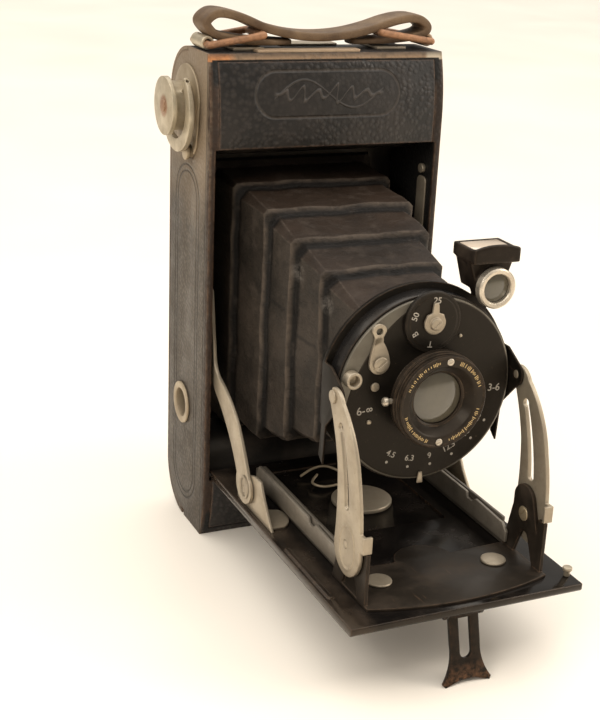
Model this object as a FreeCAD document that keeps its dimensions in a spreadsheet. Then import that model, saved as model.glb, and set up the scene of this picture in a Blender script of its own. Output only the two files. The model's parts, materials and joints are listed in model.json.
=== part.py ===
"""Self-erecting folding roll-film camera for 6 x 9 cm pictures, shown open and standing.

The frame's origin is the middle of the case's footprint, on the flat end it stands on.
+Z is up, -Y is the way the lens looks, +X is to the right of somebody facing the lens.
"""
import FreeCAD
import Part
import math
import os

doc = FreeCAD.newDocument("folding_camera")
sheet = doc.addObject("Spreadsheet::Sheet", "sizes")

SIZES = {
    # case
    "case_width": 78.0, "case_height": 156.0, "case_depth": 36.0, "case_wall": 1.6,
    "back_corner": 16.0, "front_recess": 3.5, "front_bulge_rise": 20.0, "panel_skin": 0.6,
    "opening_half": 37.2, "opening_low": 20.5, "opening_top": 128.3, "door_skin": 1.2,
    "door_start": 2.0, "panel_half": 36.2,
    # drop bed
    "bed_half": 36.4, "bed_thick": 2.5, "bed_reach": 105.25, "hinge_y": -16.75, "hinge_z": 22.25,
    "hinge_pin_radius": 0.7, "pin_clearance": 0.05, "base_sheet": 0.8,
    # film transport
    "spool_y": 1.5, "spool_top_z": 138.5, "spool_low_z": 17.5, "spool_core": 5.0,
    "flange_radius": 12.6, "spool_length": 62.8, "flange_thick": 0.9, "chamber_radius": 14.2,
    "chamber_skin": 1.0, "gate_y": 11.5, "gate_skin": 1.0, "gate_half": 28.5, "gate_low": 31.5,
    "gate_top": 119.5, "roller_radius": 2.0, "roller_y": 14.65, "roller_length": 66.0,
    # lens standard
    "lens_z": 74.0, "face_y": -88.0, "face_radius": 27.0, "shutter_radius": 27.6,
    "plate_thick": 1.2, "shutter_deep": 5.6, "board_thick": 1.4, "focus_radius": 13.7,
    "focus_deep": 7.0, "barrel_radius": 10.4, "glass_radius": 7.3, "dial_radius": 8.7,
    "dial_thick": 1.6, "dial_z": 94.3,
    # struts, braces, links
    "strut_foot_y": -102.5, "strut_foot_z": 38.0, "strut_head_y": -90.5, "strut_head_z": 76.5,
    "strut_plane": 28.6, "strut_thick": 1.2, "ear_plane": 27.4, "ear_thick": 1.0,
    "link_plane": 26.2, "link_thick": 1.0, "link_low": 25.6, "link_high": 31.6,
    "rail_left_plane": 25.0, "rail_thick": 1.0, "rail_high": 31.9,
    "brace_plane": 35.0, "brace_thick": 1.1, "brace_foot_y": -44.5, "brace_foot_z": 29.5,
    "brace_head_y": -11.5, "brace_head_z": 82.0, "track_thick": 0.5,
    # leg
    "leg_y": -117.6, "leg_z": 19.6, "leg_thick": 1.4, "leg_pin_radius": 0.7,
    # winding key
    "key_y": 1.5, "key_z": 138.5, "key_disc_radius": 8.8, "key_disc_thick": 1.4,
    "key_collar_radius": 7.4, "key_collar_long": 5.4, "key_plate_thick": 0.7, "key_shaft_radius": 3.0,
    "button_y": -2.6, "button_z": 125.0, "wing_inner": 9.8, "wing_outer": 13.2, "wing_thick": 1.5,
    "wing_turn": -43.0,
    # finder
    "finder_x": 19.5, "finder_half": 7.4, "finder_low": 94.5, "finder_top": 114.2,
    "finder_front": -88.0, "finder_back": -76.0, "finder_ear_y": -79.8, "finder_pin_radius": 1.1,
    # hinged back
    "door_hinge_y": 2.2, "door_hinge_z": 0.9, "door_pin_radius": 0.5, "door_pin_long": 72.0,
    "window_z": 58.0, "window_radius": 4.9, "spool_pin_radius": 2.0,
    # strap and its hardware
    "strap_half": 5.5, "strap_thick": 1.6, "strap_y": -4.0, "loop_wire": 1.1,
    # tripod and cable sockets
    "tripod_radius": 4.75, "tripod_collar": 7.0, "side_bush_y": 3.5, "side_bush_z": 40.5,
    "bed_bush_x": 1.0, "bed_bush_y": -52.0, "socket_radius": 1.5,
}
for row, (name, value) in enumerate(SIZES.items(), start=1):
    sheet.set("A%d" % row, name)
    sheet.set("B%d" % row, str(value))
    sheet.setAlias("B%d" % row, name)
doc.recompute()


def size(name):
    """The value of one sheet cell."""
    return float(getattr(sheet, name))


def vec(x, y, z=0.0):
    return FreeCAD.Vector(x, y, z)


ROLES = {"x": "YZ_Plane", "y": "XZ_Plane", "z": "XY_Plane"}
NODES = []


def keep(feature, label):
    """Label a finished sub-part and list it for export."""
    feature.Label = label
    NODES.append(feature)
    return feature


def edges_of(steps):
    """Edges of a closed outline: a step is a point, or (point on the arc, end point)."""
    edges = []
    here = steps[0]
    for step in list(steps[1:]) + [steps[0]]:
        if isinstance(step[0], tuple):
            middle, end = step
            edges.append(Part.Arc(vec(*here), vec(*middle), vec(*end)))
            here = end
        else:
            if math.dist(here, step) > 1e-6:
                edges.append(Part.LineSegment(vec(*here), vec(*step)))
            here = step
    return edges


def add_sketch(body, facing, place, outlines, circles):
    """A sketch facing along one axis, at a place on that axis."""
    plane = [f for f in body.Origin.OriginFeatures if f.Role == ROLES[facing]][0]
    sketch = body.newObject("Sketcher::SketchObject", "profile")
    sketch.AttachmentSupport = [(plane, "")]
    sketch.MapMode = "FlatFace"
    lift = -place if facing == "y" else place
    sketch.AttachmentOffset = FreeCAD.Placement(vec(0, 0, lift), FreeCAD.Rotation())
    for outline in outlines:
        for edge in edges_of(outline):
            sketch.addGeometry(edge, False)
    for a, b, radius in circles:
        sketch.addGeometry(Part.Circle(vec(a, b), vec(0, 0, 1), radius), False)
    return sketch


def new_plate(facing, place, thick, outlines, circles=()):
    """A flat piece: its outline pushed along +X, +Y or +Z by a thickness from the sheet."""
    body = doc.addObject("PartDesign::Body", "plate")
    sketch = add_sketch(body, facing, place, outlines, circles)
    pad = body.newObject("PartDesign::Pad", "pad")
    pad.Profile = sketch
    pad.setExpression("Length", thick)
    pad.Reversed = facing == "y"
    sketch.Visibility = False
    return body


def plate(label, facing, place, thick, outlines, circles=()):
    return keep(new_plate(facing, place, thick, outlines, circles), label)


TURNS = {
    "x": FreeCAD.Rotation(vec(0, 1, 0), 90),
    "y": FreeCAD.Rotation(vec(1, 0, 0), -90),
    "z": FreeCAD.Rotation(),
}


def new_rod(facing, start, radius, length):
    """A cylinder along +X, +Y or +Z, its radius and length given as sheet expressions."""
    rod = doc.addObject("Part::Cylinder", "rod")
    rod.setExpression("Radius", str(radius))
    rod.setExpression("Height", str(length))
    rod.Placement = FreeCAD.Placement(vec(*start), TURNS[facing])
    return rod


def new_box(low, high):
    box = doc.addObject("Part::Box", "block")
    box.Length = high[0] - low[0]
    box.Width = high[1] - low[1]
    box.Height = high[2] - low[2]
    box.Placement = FreeCAD.Placement(vec(*low), FreeCAD.Rotation())
    return box


def new_cut(base, tool):
    cut = doc.addObject("Part::Cut", "cut")
    cut.Base = base
    cut.Tool = tool
    return cut


def new_fuse(pieces):
    fuse = doc.addObject("Part::MultiFuse", "joined")
    fuse.Shapes = pieces
    return fuse


def new_group(pieces):
    """Separate, identical solids kept in one node."""
    group = doc.addObject("Part::Compound", "group")
    group.Links = pieces
    return group


def new_shape(shape):
    feature = doc.addObject("Part::Feature", "shape")
    feature.Shape = shape
    feature.Placement = FreeCAD.Placement()
    return feature


def cell(name):
    return "sizes." + name


def box_outline(a0, b0, a1, b1):
    return [(a0, b0), (a1, b0), (a1, b1), (a0, b1)]


def round_box(a0, b0, a1, b1, r):
    """A rectangle with round corners."""
    k = r * (1 - math.sqrt(0.5))
    return [
        (a0 + r, b0), (a1 - r, b0), ((a1 - k, b0 + k), (a1, b0 + r)),
        (a1, b1 - r), ((a1 - k, b1 - k), (a1 - r, b1)),
        (a0 + r, b1), ((a0 + k, b1 - k), (a0, b1 - r)),
        (a0, b0 + r), ((a0 + k, b0 + k), (a0 + r, b0)),
    ]


# ---------------------------------------------------------------- case
def case_profile(inset, back_inset=None):
    """Side outline of the case, drawn in by an inset in front and another at the back."""
    back = inset if back_inset is None else back_inset
    half = size("case_depth") / 2
    front = -half + inset
    low, top = inset, size("case_height") - inset
    rear_low, rear_top = back, size("case_height") - back
    rear = half - back
    radius = size("back_corner") - back
    start = size("door_start")
    recess = size("front_recess")
    rise = size("front_bulge_rise")
    k = radius * (1 - math.sqrt(0.5))
    middle = rise * 0.45
    return [
        (front + recess, low), (start, low), (start, rear_low), (rear - radius, rear_low),
        ((rear - k, rear_low + k), (rear, rear_low + radius)),
        (rear, rear_top - radius), ((rear - k, rear_top - k), (rear - radius, rear_top)),
        (start, rear_top), (start, top), (front + recess, top),
        ((front + recess * 0.3, top - middle), (front, top - rise)),
        (front, low + rise), ((front + recess * 0.3, low + middle), (front + recess, low)),
    ]


def prism(outline, half_width):
    """A side outline made solid across the case."""
    wire = Part.Wire([e.toShape() for e in edges_of(outline)])
    face = Part.Face(wire)
    flat = face.extrude(vec(0, 0, 2 * half_width))
    # the outline's own x, y and depth become the frame's y, z and x
    return flat.transformed(FreeCAD.Matrix(0, 0, 1, -half_width, 1, 0, 0, 0, 0, 1, 0, 0, 0, 0, 0, 1))


def solid_box(low, high):
    box = Part.makeBox(high[0] - low[0], high[1] - low[1], high[2] - low[2])
    box.translate(vec(*low))
    return box


def case_pieces():
    half = size("case_width") / 2
    wall = size("case_wall")
    skin = size("panel_skin")
    door = size("door_skin")
    depth = size("case_depth") / 2
    height = size("case_height")
    opening = solid_box((-size("opening_half"), -depth - 5, size("opening_low")),
                        (size("opening_half"), size("gate_y"), size("opening_top")))
    outer = prism(case_profile(0.0), half)
    shell = prism(case_profile(0.0, door + 0.1), half)
    hollow = prism(case_profile(wall, -6.0), size("opening_half"))
    shell = shell.cut(hollow).cut(opening)
    window = solid_box((-size("panel_half"), -depth - 1, 0),
                       (size("panel_half"), -size("front_recess"), height))
    skin_band = outer.cut(prism(case_profile(skin), half + 1)).common(window)
    upper = skin_band.common(solid_box((-half, -depth - 1, size("opening_top")),
                                       (half, 0, height - 2.2)))
    lower = skin_band.common(solid_box((-half, -depth - 1, 2.2), (half, 0, size("opening_low"))))
    shell = shell.cut(upper).cut(lower)
    bores = [
        (size("tripod_radius") + 1.2, size("side_bush_y"), size("side_bush_z")),
        (size("key_shaft_radius") + 0.05, size("key_y"), size("key_z")),
        (1.75, size("button_y"), size("button_z")),
    ]
    for radius, y, z in bores:
        shell = shell.cut(Part.makeCylinder(radius, 6, vec(-half - 1, y, z), vec(1, 0, 0)))
    hinge_y, hinge_z = size("door_hinge_y"), size("door_hinge_z")
    shell = shell.cut(solid_box((-half - 1, hinge_y - 1.1, -1),
                                (half + 1, hinge_y + 1.1, hinge_z + 1.1)))
    catch = solid_box((-6, -depth + wall - 0.1, size("opening_top") + 0.6),
                      (6, -13.8, size("opening_top") + 3.2))
    keep(new_shape(shell.fuse(catch)), "front_shell")
    keep(new_shape(upper), "upper_front_panel")
    keep(new_shape(lower), "lower_front_panel")
    # the back wraps both round ends and hinges at its lower front edge
    band = outer.cut(prism(case_profile(0.0, door), half + 1))
    band = band.common(solid_box((-half, size("door_start") + 0.3, -1), (half, depth + 1, height + 1)))
    band = band.cut(solid_box((-half, 0, -1), (half, hinge_y + 0.6, 20)))
    pin_long = size("door_pin_long")
    pin_start = vec(-pin_long / 2, hinge_y, hinge_z)
    barrel = Part.makeCylinder(0.85, pin_long, pin_start, vec(1, 0, 0))
    pin_hole = Part.makeCylinder(size("door_pin_radius") + 0.05, pin_long, pin_start, vec(1, 0, 0))
    barrel = barrel.cut(pin_hole)
    window_z = size("window_z")
    ring = Part.makeCylinder(6.2, 0.5, vec(0, depth, window_z), vec(0, 1, 0))
    window_hole = Part.makeCylinder(size("window_radius") + 0.05, 6, vec(0, depth - 3, window_z),
                                    vec(0, 1, 0))
    keep(new_shape(band.multiFuse([barrel, ring]).cut(window_hole)), "back_cover")
    keep(new_rod("x", pin_start, cell("door_pin_radius"), cell("door_pin_long")), "back_hinge_pin")


def inner_frame():
    """Film gate with a curved spool chamber wall above and below it."""
    half = size("opening_half")
    gate = size("gate_y")
    skin = size("chamber_skin")
    radius = size("chamber_radius")
    frame = solid_box((-half, gate, 26.0), (half, gate + size("gate_skin"), 130.0))
    frame = frame.cut(solid_box((-size("gate_half"), gate - 1, size("gate_low")),
                                (size("gate_half"), gate + 3, size("gate_top"))))
    for height, low, high in ((size("spool_top_z"), 0.0, size("spool_top_z")),
                              (size("spool_low_z"), size("spool_low_z"), 200.0)):
        centre = vec(-half, size("spool_y"), height)
        ring = Part.makeCylinder(radius + skin, 2 * half, centre, vec(1, 0, 0))
        ring = ring.cut(Part.makeCylinder(radius, 2 * half, centre, vec(1, 0, 0)))
        frame = frame.fuse(ring.common(solid_box((-half, -40, low), (half, gate + 1.0, high))))
    room = Part.makeCylinder(2.0, 2.2, vec(-half - 0.1, size("button_y"), size("button_z")), vec(1, 0, 0))
    keep(new_shape(frame.removeSplitter().cut(room)), "inner_frame")


def spool(label, height, keyed):
    """A film spool: a slotted core between two flanges."""
    half = size("spool_length") / 2
    thick = size("flange_thick")
    place = size("spool_y")
    pieces = [new_rod("x", (-half, place, height), cell("spool_core"), cell("spool_length"))]
    for start in (-half, half - thick):
        pieces.append(new_rod("x", (start, place, height), cell("flange_radius"), cell("flange_thick")))
    core = new_fuse(pieces)
    ends = [new_rod("x", (half - 4, place, height), cell("spool_pin_radius + 0.05"), "5")]
    if keyed:
        ends.append(new_box((-half - 1, place - 0.6, height - 1.6),
                            (-half + 3, place + 0.6, height + 1.6)))
    else:
        ends.append(new_rod("x", (-half - 1, place, height), cell("spool_pin_radius + 0.05"), "5"))
    keep(new_cut(core, new_fuse(ends)), label)


def spool_pins():
    """Fixed pins that carry the spool ends the key doesn't drive."""
    half, wall = size("spool_length") / 2, size("opening_half")
    place, radius = size("spool_y"), cell("spool_pin_radius")
    reach = str(wall - half + 3.5)
    pins = []
    for height in (size("spool_top_z"), size("spool_low_z")):
        pins.append(new_rod("x", (half - 3.5, place, height), radius, reach))
    pins.append(new_rod("x", (-wall, place, size("spool_low_z")), radius, reach))
    keep(new_group(pins), "spool_pins")


def roller(label, height):
    start = (-size("roller_length") / 2, size("roller_y"), height)
    keep(new_rod("x", start, cell("roller_radius"), cell("roller_length")), label)


def back_pieces():
    """Pressure plate, its leaf springs, the frame-number window and the back's latch."""
    plate("pressure_plate", "y", 13.4, "0.8", [round_box(-31, 34, 31, 117, 3)],
          [(0, size("window_z"), size("window_radius"))])
    leaves = []
    for side in (-1, 1):
        x = 14 * side
        bowed = [(14.2, 45), ((16.6, 75.5), (14.2, 106)), (14.6, 106), ((16.8, 75.5), (14.6, 45))]
        leaves.append(new_plate("x", x - 3, "6", [bowed]))
    keep(new_group(leaves), "pressure_springs")
    keep(new_rod("y", (0, 16.9, size("window_z")), cell("window_radius"), "0.9"), "red_window")
    plate("back_latch", "z", size("case_height"), "0.7", [round_box(-10, 0.2, 10, 7.5, 1.5)])


def side_pieces():
    """Hardware on the winding side of the case."""
    left = -size("case_width") / 2
    key_y, key_z = size("key_y"), size("key_z")
    drop = [(key_y - 11.0, key_z + 3), ((key_y, key_z + 12.5), (key_y + 11.0, key_z + 3)),
            (key_y + 8.0, key_z - 11), ((key_y - 1, key_z - 16), (key_y - 9.0, key_z - 11))]
    button_y, button_z = size("button_y"), size("button_z")
    key_plate = new_plate("x", left - size("key_plate_thick"), cell("key_plate_thick"), [drop],
                          [(key_y, key_z, size("key_shaft_radius") + 0.05)])
    clear = new_rod("x", (left - 3, button_y, button_z), "2.5", "6")
    keep(new_cut(key_plate, clear), "key_plate")
    bush_y, bush_z = size("side_bush_y"), size("side_bush_z")
    collar = new_rod("x", (left - 0.8, bush_y, bush_z), cell("tripod_collar"), "0.8")
    sleeve = new_rod("x", (left, bush_y, bush_z), cell("tripod_radius + 1.15"), "2.6")
    bore = new_rod("x", (left - 1, bush_y, bush_z), cell("tripod_radius"), "5")
    keep(new_cut(new_fuse([collar, sleeve]), bore), "side_tripod_bush")
    # the button that frees the bed
    stem = new_rod("x", (left - 2.2, button_y, button_z), "1.7", "3.8")
    cap = new_rod("x", (left - 2.6, button_y, button_z), "2.3", "1.3")
    keep(new_fuse([stem, cap]), "bed_button")


def winding_key():
    """Shaft and stacked discs of the key, with the half-moon wing that folds round them."""
    left = -size("case_width") / 2 - size("key_plate_thick")
    key_y, key_z = size("key_y"), size("key_z")
    shaft = new_rod("x", (left - 0.4, key_y, key_z), cell("key_shaft_radius"), str(-left + 0.4 - 32.2))
    tongue = new_box((-32.2, key_y - 0.5, key_z - 1.5), (-29.0, key_y + 0.5, key_z + 1.5))
    keep(new_fuse([shaft, tongue]), "key_shaft")
    back = left - 0.4 - size("key_collar_long")
    front = back - size("key_disc_thick")
    collar = new_rod("x", (back, key_y, key_z), cell("key_collar_radius"), cell("key_collar_long"))
    rim = new_rod("x", (front, key_y, key_z), cell("key_disc_radius"), cell("key_disc_thick"))
    screw = new_rod("x", (front - 0.5, key_y, key_z), "1.9", "0.6")
    wing_x = back + 2.1
    middle = wing_x + size("wing_thick") / 2
    turn = math.radians(size("wing_turn"))
    span = vec(0, math.cos(turn), math.sin(turn))
    centre = vec(middle, key_y, key_z)
    pivot = Part.makeCylinder(0.5, 22.8, centre - span * 11.4, span)
    keep(new_fuse([collar, rim, screw, new_shape(pivot)]), "key_disc")
    # half-moon wing, clear of the rim when it folds out
    inner, outer = size("wing_inner"), size("wing_outer")
    low, tip = -math.pi / 2, math.radians(6)

    def at(radius, angle):
        return (key_y + radius * math.cos(angle + turn), key_z + radius * math.sin(angle + turn))

    moon = [at(inner, math.pi - tip), (at(inner, low), at(inner, tip)), at(outer - 0.6, tip),
            (at(outer + 0.8, low), at(outer - 0.6, math.pi - tip))]
    wing = new_plate("x", wing_x, cell("wing_thick"), [moon])
    keep(new_cut(wing, new_shape(Part.makeCylinder(0.55, 40, centre - span * 20, span))), "key_wing")


def top_pieces():
    """Latch plate along the top edge, and the lugs and wire loops that carry the strap."""
    top = size("case_height")
    plate("top_latch_plate", "z", top, "0.8", [round_box(-23, -14.0, 11, -9.6, 0.8)],
          [(-14, -11.8, 1.0), (4, -11.8, 1.0)])
    half = size("strap_half")
    y = size("strap_y")
    wire = size("loop_wire")
    lugs = []
    loops = []
    for side in (-1, 1):
        x = 24.0 * side
        lugs.append(new_box((x - 5.0, y - half + 0.2, top), (x + 5.0, y + half + 3.2, top + 0.9)))
        near, far = 20.0 * side, 37.0 * side
        near_z = top + (4.7 if side < 0 else 5.2)
        far_z = top + (1.9 if side < 0 else 2.6)
        corners = [(near, y - half - 1.4, near_z), (far, y - half - 1.4, far_z),
                   (far, y + half + 1.4, far_z), (near, y + half + 1.4, near_z)]
        bars = []
        for start, end in zip(corners, corners[1:] + corners[:1]):
            run = vec(*end) - vec(*start)
            bars.append(Part.makeCylinder(wire, run.Length, vec(*start), run))
            bars.append(Part.makeSphere(wire, vec(*start)))
        loops.append(new_shape(bars[0].multiFuse(bars[1:])))
    keep(new_group(lugs), "strap_lugs")
    keep(new_group(loops), "strap_loops")
    strap()


def strap():
    """Leather carrying strap, arched at both ends and sagging in the middle."""
    top = size("case_height")
    y, half, thick = size("strap_y"), size("strap_half"), size("strap_thick")
    outline = [
        (-38.6, top + 6.5), ((-34.5, top + 11.6), (-27.0, top + 9.4)),
        ((-1.0, top + 6.1), (24.0, top + 9.2)), ((33.0, top + 9.6), (38.4, top + 5.6)),
        (38.4 - thick, top + 5.4), ((32.5, top + 8.0), (24.0, top + 7.6)),
        ((-1.0, top + 4.5), (-27.0, top + 7.8)), ((-34.0, top + 9.6), (-37.0, top + 6.5)),
    ]
    plate("strap", "y", y - half, str(2 * half), [outline])


def bellows():
    """Closed stand-in for the leather bellows: a tapered box between gate and lens board."""
    rear_y, front_y = size("gate_y") - 0.1, size("face_y") + 10.4
    loops = []
    for y, half_x, low, top in ((rear_y, 30.0, 31.0, 119.0), (front_y, 19.5, 53.5, 94.5)):
        corners = [vec(-half_x, y, low), vec(half_x, y, low), vec(half_x, y, top), vec(-half_x, y, top)]
        loops.append(Part.makePolygon(corners + corners[:1]))
    keep(new_shape(Part.makeLoft(loops, True, True)), "bellows")


def case_hardware():
    """Hinge pin of the bed, and the slide that holds each side brace's head."""
    half = size("opening_half")
    keep(new_rod("x", (-half, size("hinge_y"), size("hinge_z")), cell("hinge_pin_radius"),
                 cell("opening_half * 2")), "bed_hinge_pin")
    tracks = []
    y = size("brace_head_y")
    for side in (-1, 1):
        x = half - size("track_thick") if side > 0 else -half
        track = new_plate("x", x, cell("track_thick"), [round_box(y - 2.8, 78, y + 2.8, 116, 2)])
        stud = new_rod("x", (half - 1.2 if side > 0 else -half, y, 118.6), "1.5", "1.2")
        tracks.extend([track, stud])
    keep(new_group(tracks), "brace_tracks")


# ---------------------------------------------------------------- bed
def bed_pieces():
    """The drop bed with its rails, tripod bush and pivots."""
    half = size("bed_half")
    low = size("hinge_z") - size("bed_thick") / 2
    top = low + size("bed_thick")
    rear, front = size("hinge_y"), size("hinge_y") - size("bed_reach")
    barrel = size("bed_thick") / 2
    side = [(rear, low), (front + 1.0, low), ((front + 0.3, low + 0.3), (front, low + 1.0)), (front, top),
            (rear, top), ((rear + barrel, size("hinge_z")), (rear, low))]
    slab = new_plate("x", -half, cell("bed_half * 2"), [side],
                     [(rear, size("hinge_z"), size("hinge_pin_radius") + size("pin_clearance"))])
    # pressed recess between the rails, and the blind tripod thread under the disc
    tray = new_box((-20, -72, top - 0.6), (20, -24, top + 1))
    rib = new_plate("z", top - 0.01, "0.51", [round_box(-35.2, -105.5, -33.2, -74.5, 0.95)])
    bush_x, bush_y = size("bed_bush_x"), size("bed_bush_y")
    bush_seat = new_rod("z", (bush_x, bush_y, low - 1), "6.0", "5")
    leg_y, leg_z = size("leg_y"), size("leg_z")
    lugs = []
    for x in (-6.2, 4.8):
        lug = [(leg_y - 1.5, low + 0.2), (leg_y - 1.5, leg_z),
               ((leg_y, leg_z - 1.5), (leg_y + 1.5, leg_z)), (leg_y + 1.5, low + 0.2)]
        lugs.append(new_plate("x", x, "1.4", [lug], [(leg_y, leg_z, size("leg_pin_radius"))]))
    keep(new_fuse([new_cut(slab, new_fuse([tray, bush_seat])), rib] + lugs), "bed_plate")
    disc = new_rod("z", (bush_x, bush_y, top - 0.6), "9.5", "1.4")
    stem = new_rod("z", (bush_x, bush_y, low), "5.95", str(size("bed_thick") - 0.6))
    thread = new_rod("z", (bush_x, bush_y, low - 1), cell("tripod_radius - 1.7"), "3.3")
    keep(new_cut(new_fuse([disc, stem]), thread), "bed_tripod_bush")
    left = size("rail_left_plane")
    foot = [(-92.0, top), (-30.0, top), (-30.0, top + 5.5), (-36.0, size("rail_high")),
            (-92.0, size("rail_high"))]
    keep(new_group([new_plate("x", -left - size("rail_thick"), cell("rail_thick"), [foot]),
                    new_plate("x", size("ear_plane"), cell("rail_thick"), [foot])]), "bed_rails")
    keep(new_group(strut_base(top) + brace_brackets(top)), "bed_pivots")
    keep(new_rod("x", (-6.2, leg_y, leg_z), cell("leg_pin_radius"), "12.4"), "leg_pin")


def strut_base(top):
    """Dark base sheet across the bed's front, its two pierced ears turned up."""
    half = size("ear_plane") + size("ear_thick")
    sheet_top = top + size("base_sheet")
    outline = [(-half, -93.0), (-9.0, -94.0), ((0, -86.5), (9.0, -94.0)), (half, -93.0), (half, -115.0),
               ((0, -119.6), (-half, -115.0))]
    floor = new_plate("z", top, cell("base_sheet"), [outline])
    foot_y, foot_z = size("strut_foot_y"), size("strut_foot_z")
    ear = [
        (-93.0, top + 0.1), (-96.8, foot_z + 1.0), (-96.8, foot_z + 4.4),
        ((-101.4, foot_z + 8.6), (-106.6, foot_z + 5.2)), (-108.8, foot_z - 1.0), (-109.8, 34.6),
        (-109.8, 39.4), (-113.2, 39.4), (-113.2, top + 0.1), (-109.2, top + 0.1), (-105.6, 31.4),
        ((-103.4, 32.8), (-101.6, 31.4)), (-98.6, top + 0.1),
    ]
    ears = []
    for side in (-1, 1):
        x = size("ear_plane") if side > 0 else -half
        ears.append(new_plate("x", x, cell("ear_thick"), [ear], [(foot_y, foot_z, 1.25)]))
    keep(new_fuse([floor] + ears), "strut_base")
    rivets = [new_rod("z", (x, foot_y, sheet_top), "3.7", "0.7") for x in (-18.5, 18.5)]
    stud = new_fuse([new_rod("z", (34.6, -116.5, top), "0.9", "2.6"),
                     new_rod("z", (34.6, -116.5, top + 1.8), "1.4", "1.1")])
    keep(new_group(rivets + [stud]), "bed_rivets")
    pivots = []
    reach = size("strut_thick") + size("ear_thick") + 0.2
    for side in (-1, 1):
        inner = size("ear_plane") if side > 0 else -half - size("strut_thick") - 0.2
        head = inner - 0.3 if side > 0 else -size("ear_plane")
        rod = new_rod("x", (inner, foot_y, foot_z), "1.2", str(reach))
        pivots.append(new_fuse([rod, new_rod("x", (head, foot_y, foot_z), "2.2", "0.3")]))
    return pivots


def brace_brackets(top):
    """Bent-up bracket at each side of the bed that carries a brace's foot."""
    foot_y, foot_z = size("brace_foot_y"), size("brace_foot_z")
    plane = size("brace_plane")
    web = [(foot_y + 7.6, top), (foot_y + 8.0, foot_z - 3.0), (foot_y + 3.6, foot_z + 1.6),
           ((foot_y - 2.0, foot_z + 5.2), (foot_y - 9.6, foot_z + 6.2)), (foot_y - 12.6, foot_z + 1.6),
           (foot_y - 19.6, top)]
    brackets = []
    pins = []
    for side in (-1, 1):
        x = plane - 1.2 if side > 0 else -plane + 0.2
        wall = new_plate("x", x, "1.0", [web], [(foot_y, foot_z, 1.15)])
        inner = plane - 1.2
        reach = 7.3 if side < 0 else 5.2
        outline = [(side * inner, foot_y - 4.0), (side * (inner - reach + 0.6), foot_y - 7.0),
                   ((side * (inner - reach), foot_y - 13.5), (side * (inner - 4.0), foot_y - 18.0)),
                   (side * inner, foot_y - 18.0)]
        floor = new_plate("z", top, "0.8", [outline])
        brackets.append(new_fuse([wall, floor]))
        start = plane - 1.2 if side > 0 else -plane - size("brace_thick")
        pins.append(new_rod("x", (start, foot_y, foot_z), "1.1", str(1.2 + size("brace_thick"))))
    keep(new_group(brackets), "brace_brackets")
    return pins


def along_line(foot, head):
    """A place given as distance along a line from foot to head, and distance to its left."""
    run = vec(*head) - vec(*foot)
    along = run * (1 / run.Length)

    def at(u, w):
        return (foot[0] + along.x * u - along.y * w, foot[1] + along.y * u + along.x * w)

    return run.Length, at


def brace(label, side):
    """Nickel side brace: a bowed arm with a broad boss at its foot."""
    foot = (size("brace_foot_y"), size("brace_foot_z"))
    head = (size("brace_head_y"), size("brace_head_z"))
    reach, at = along_line(foot, head)
    outline = [
        at(-4.6, 1.8), (at(-2.6, 5.0), at(2.0, 5.2)), (at(11, 5.3), at(19, 4.6)),
        (at(28, 1.0), at(36, -4.6)), (at(40, -6.0), at(44, -5.0)), at(reach, 2.2),
        (at(reach + 2.2, 0), at(reach, -2.2)), (at(52, -5.8), at(42, -9.6)),
        (at(36, -10.6), at(31, -9.0)), (at(18, -4.4), at(6.0, -3.2)), (at(-3.0, -3.6), at(-4.6, 1.8)),
    ]
    x = size("brace_plane") if side > 0 else -size("brace_plane") - size("brace_thick")
    arm = new_plate("x", x, cell("brace_thick"), [outline], [(foot[0], foot[1], 1.15)])
    x = size("brace_plane") if side > 0 else -size("brace_plane") - size("brace_thick") - 0.3
    pin = new_rod("x", (x, head[0], head[1]), "1.5", str(size("brace_thick") + 0.3))
    keep(new_fuse([arm, pin]), label)


def strut(label, side):
    """Slotted erecting strut with a lock tab that hooks over the ear's front post."""
    foot = (size("strut_foot_y"), size("strut_foot_z"))
    head = (size("strut_head_y"), size("strut_head_z"))
    reach, at = along_line(foot, head)
    outline = [
        at(-9.0, 1.2), (at(-6.8, 5.8), at(-1.7, 8.6)), at(3.8, 9.8), (at(11.0, 11.0), at(18, 11.3)),
        (at(31, 9.4), at(38.5, 5.2)), (at(reach + 1.8, 2.6), at(reach + 2.6, 0)), at(reach, -2.7),
        (at(30, -0.9), at(22, -0.8)), (at(12, -2.9), at(2.0, -6.3)), (at(-6.4, -5.6), at(-9.0, 1.2)),
    ]
    slot = [at(11, 4.4), (at(20, 5.2), at(31.6, 4.4)), (at(33.4, 2.8), at(31.0, 2.4)),
            (at(20, 2.7), at(11, 1.6)), (at(9.6, 3.0), at(11, 4.4))]
    x = size("strut_plane") if side > 0 else -size("strut_plane") - size("strut_thick")
    blade = new_plate("x", x, cell("strut_thick"), [outline, slot], [(*foot, 1.25), (*head, 1.25)])
    tab = new_box((x, -112.4, 39.7), (x + size("strut_thick"), -105.0, 44.6))
    fold_x = size("ear_plane") - 0.4 if side > 0 else -size("strut_plane") - size("strut_thick")
    width = size("strut_plane") + size("strut_thick") - size("ear_plane") + 0.4
    fold = new_box((fold_x, -113.2, 39.7), (fold_x + width, -112.2, 44.6))
    keep(new_fuse([blade, tab, fold]), label)


def link(label, side):
    """Stepped flat bar on edge that pushes the strut's foot as the bed closes."""
    low, high = size("link_low"), size("link_high")
    outline = [(-96.0, low), (-34.0, low), (-33.0, low + 1.5), (-35.0, high + 0.2),
               (-72.5, high + 0.2), (-73.5, high - 1.6), (-76.0, high - 1.6), (-78.0, high),
               (-93.5, high - 0.6), (-96.0, high - 2.6)]
    x = size("link_plane") if side > 0 else -size("link_plane") - size("link_thick")
    plate(label, "x", x, cell("link_thick"), [outline])


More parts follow.
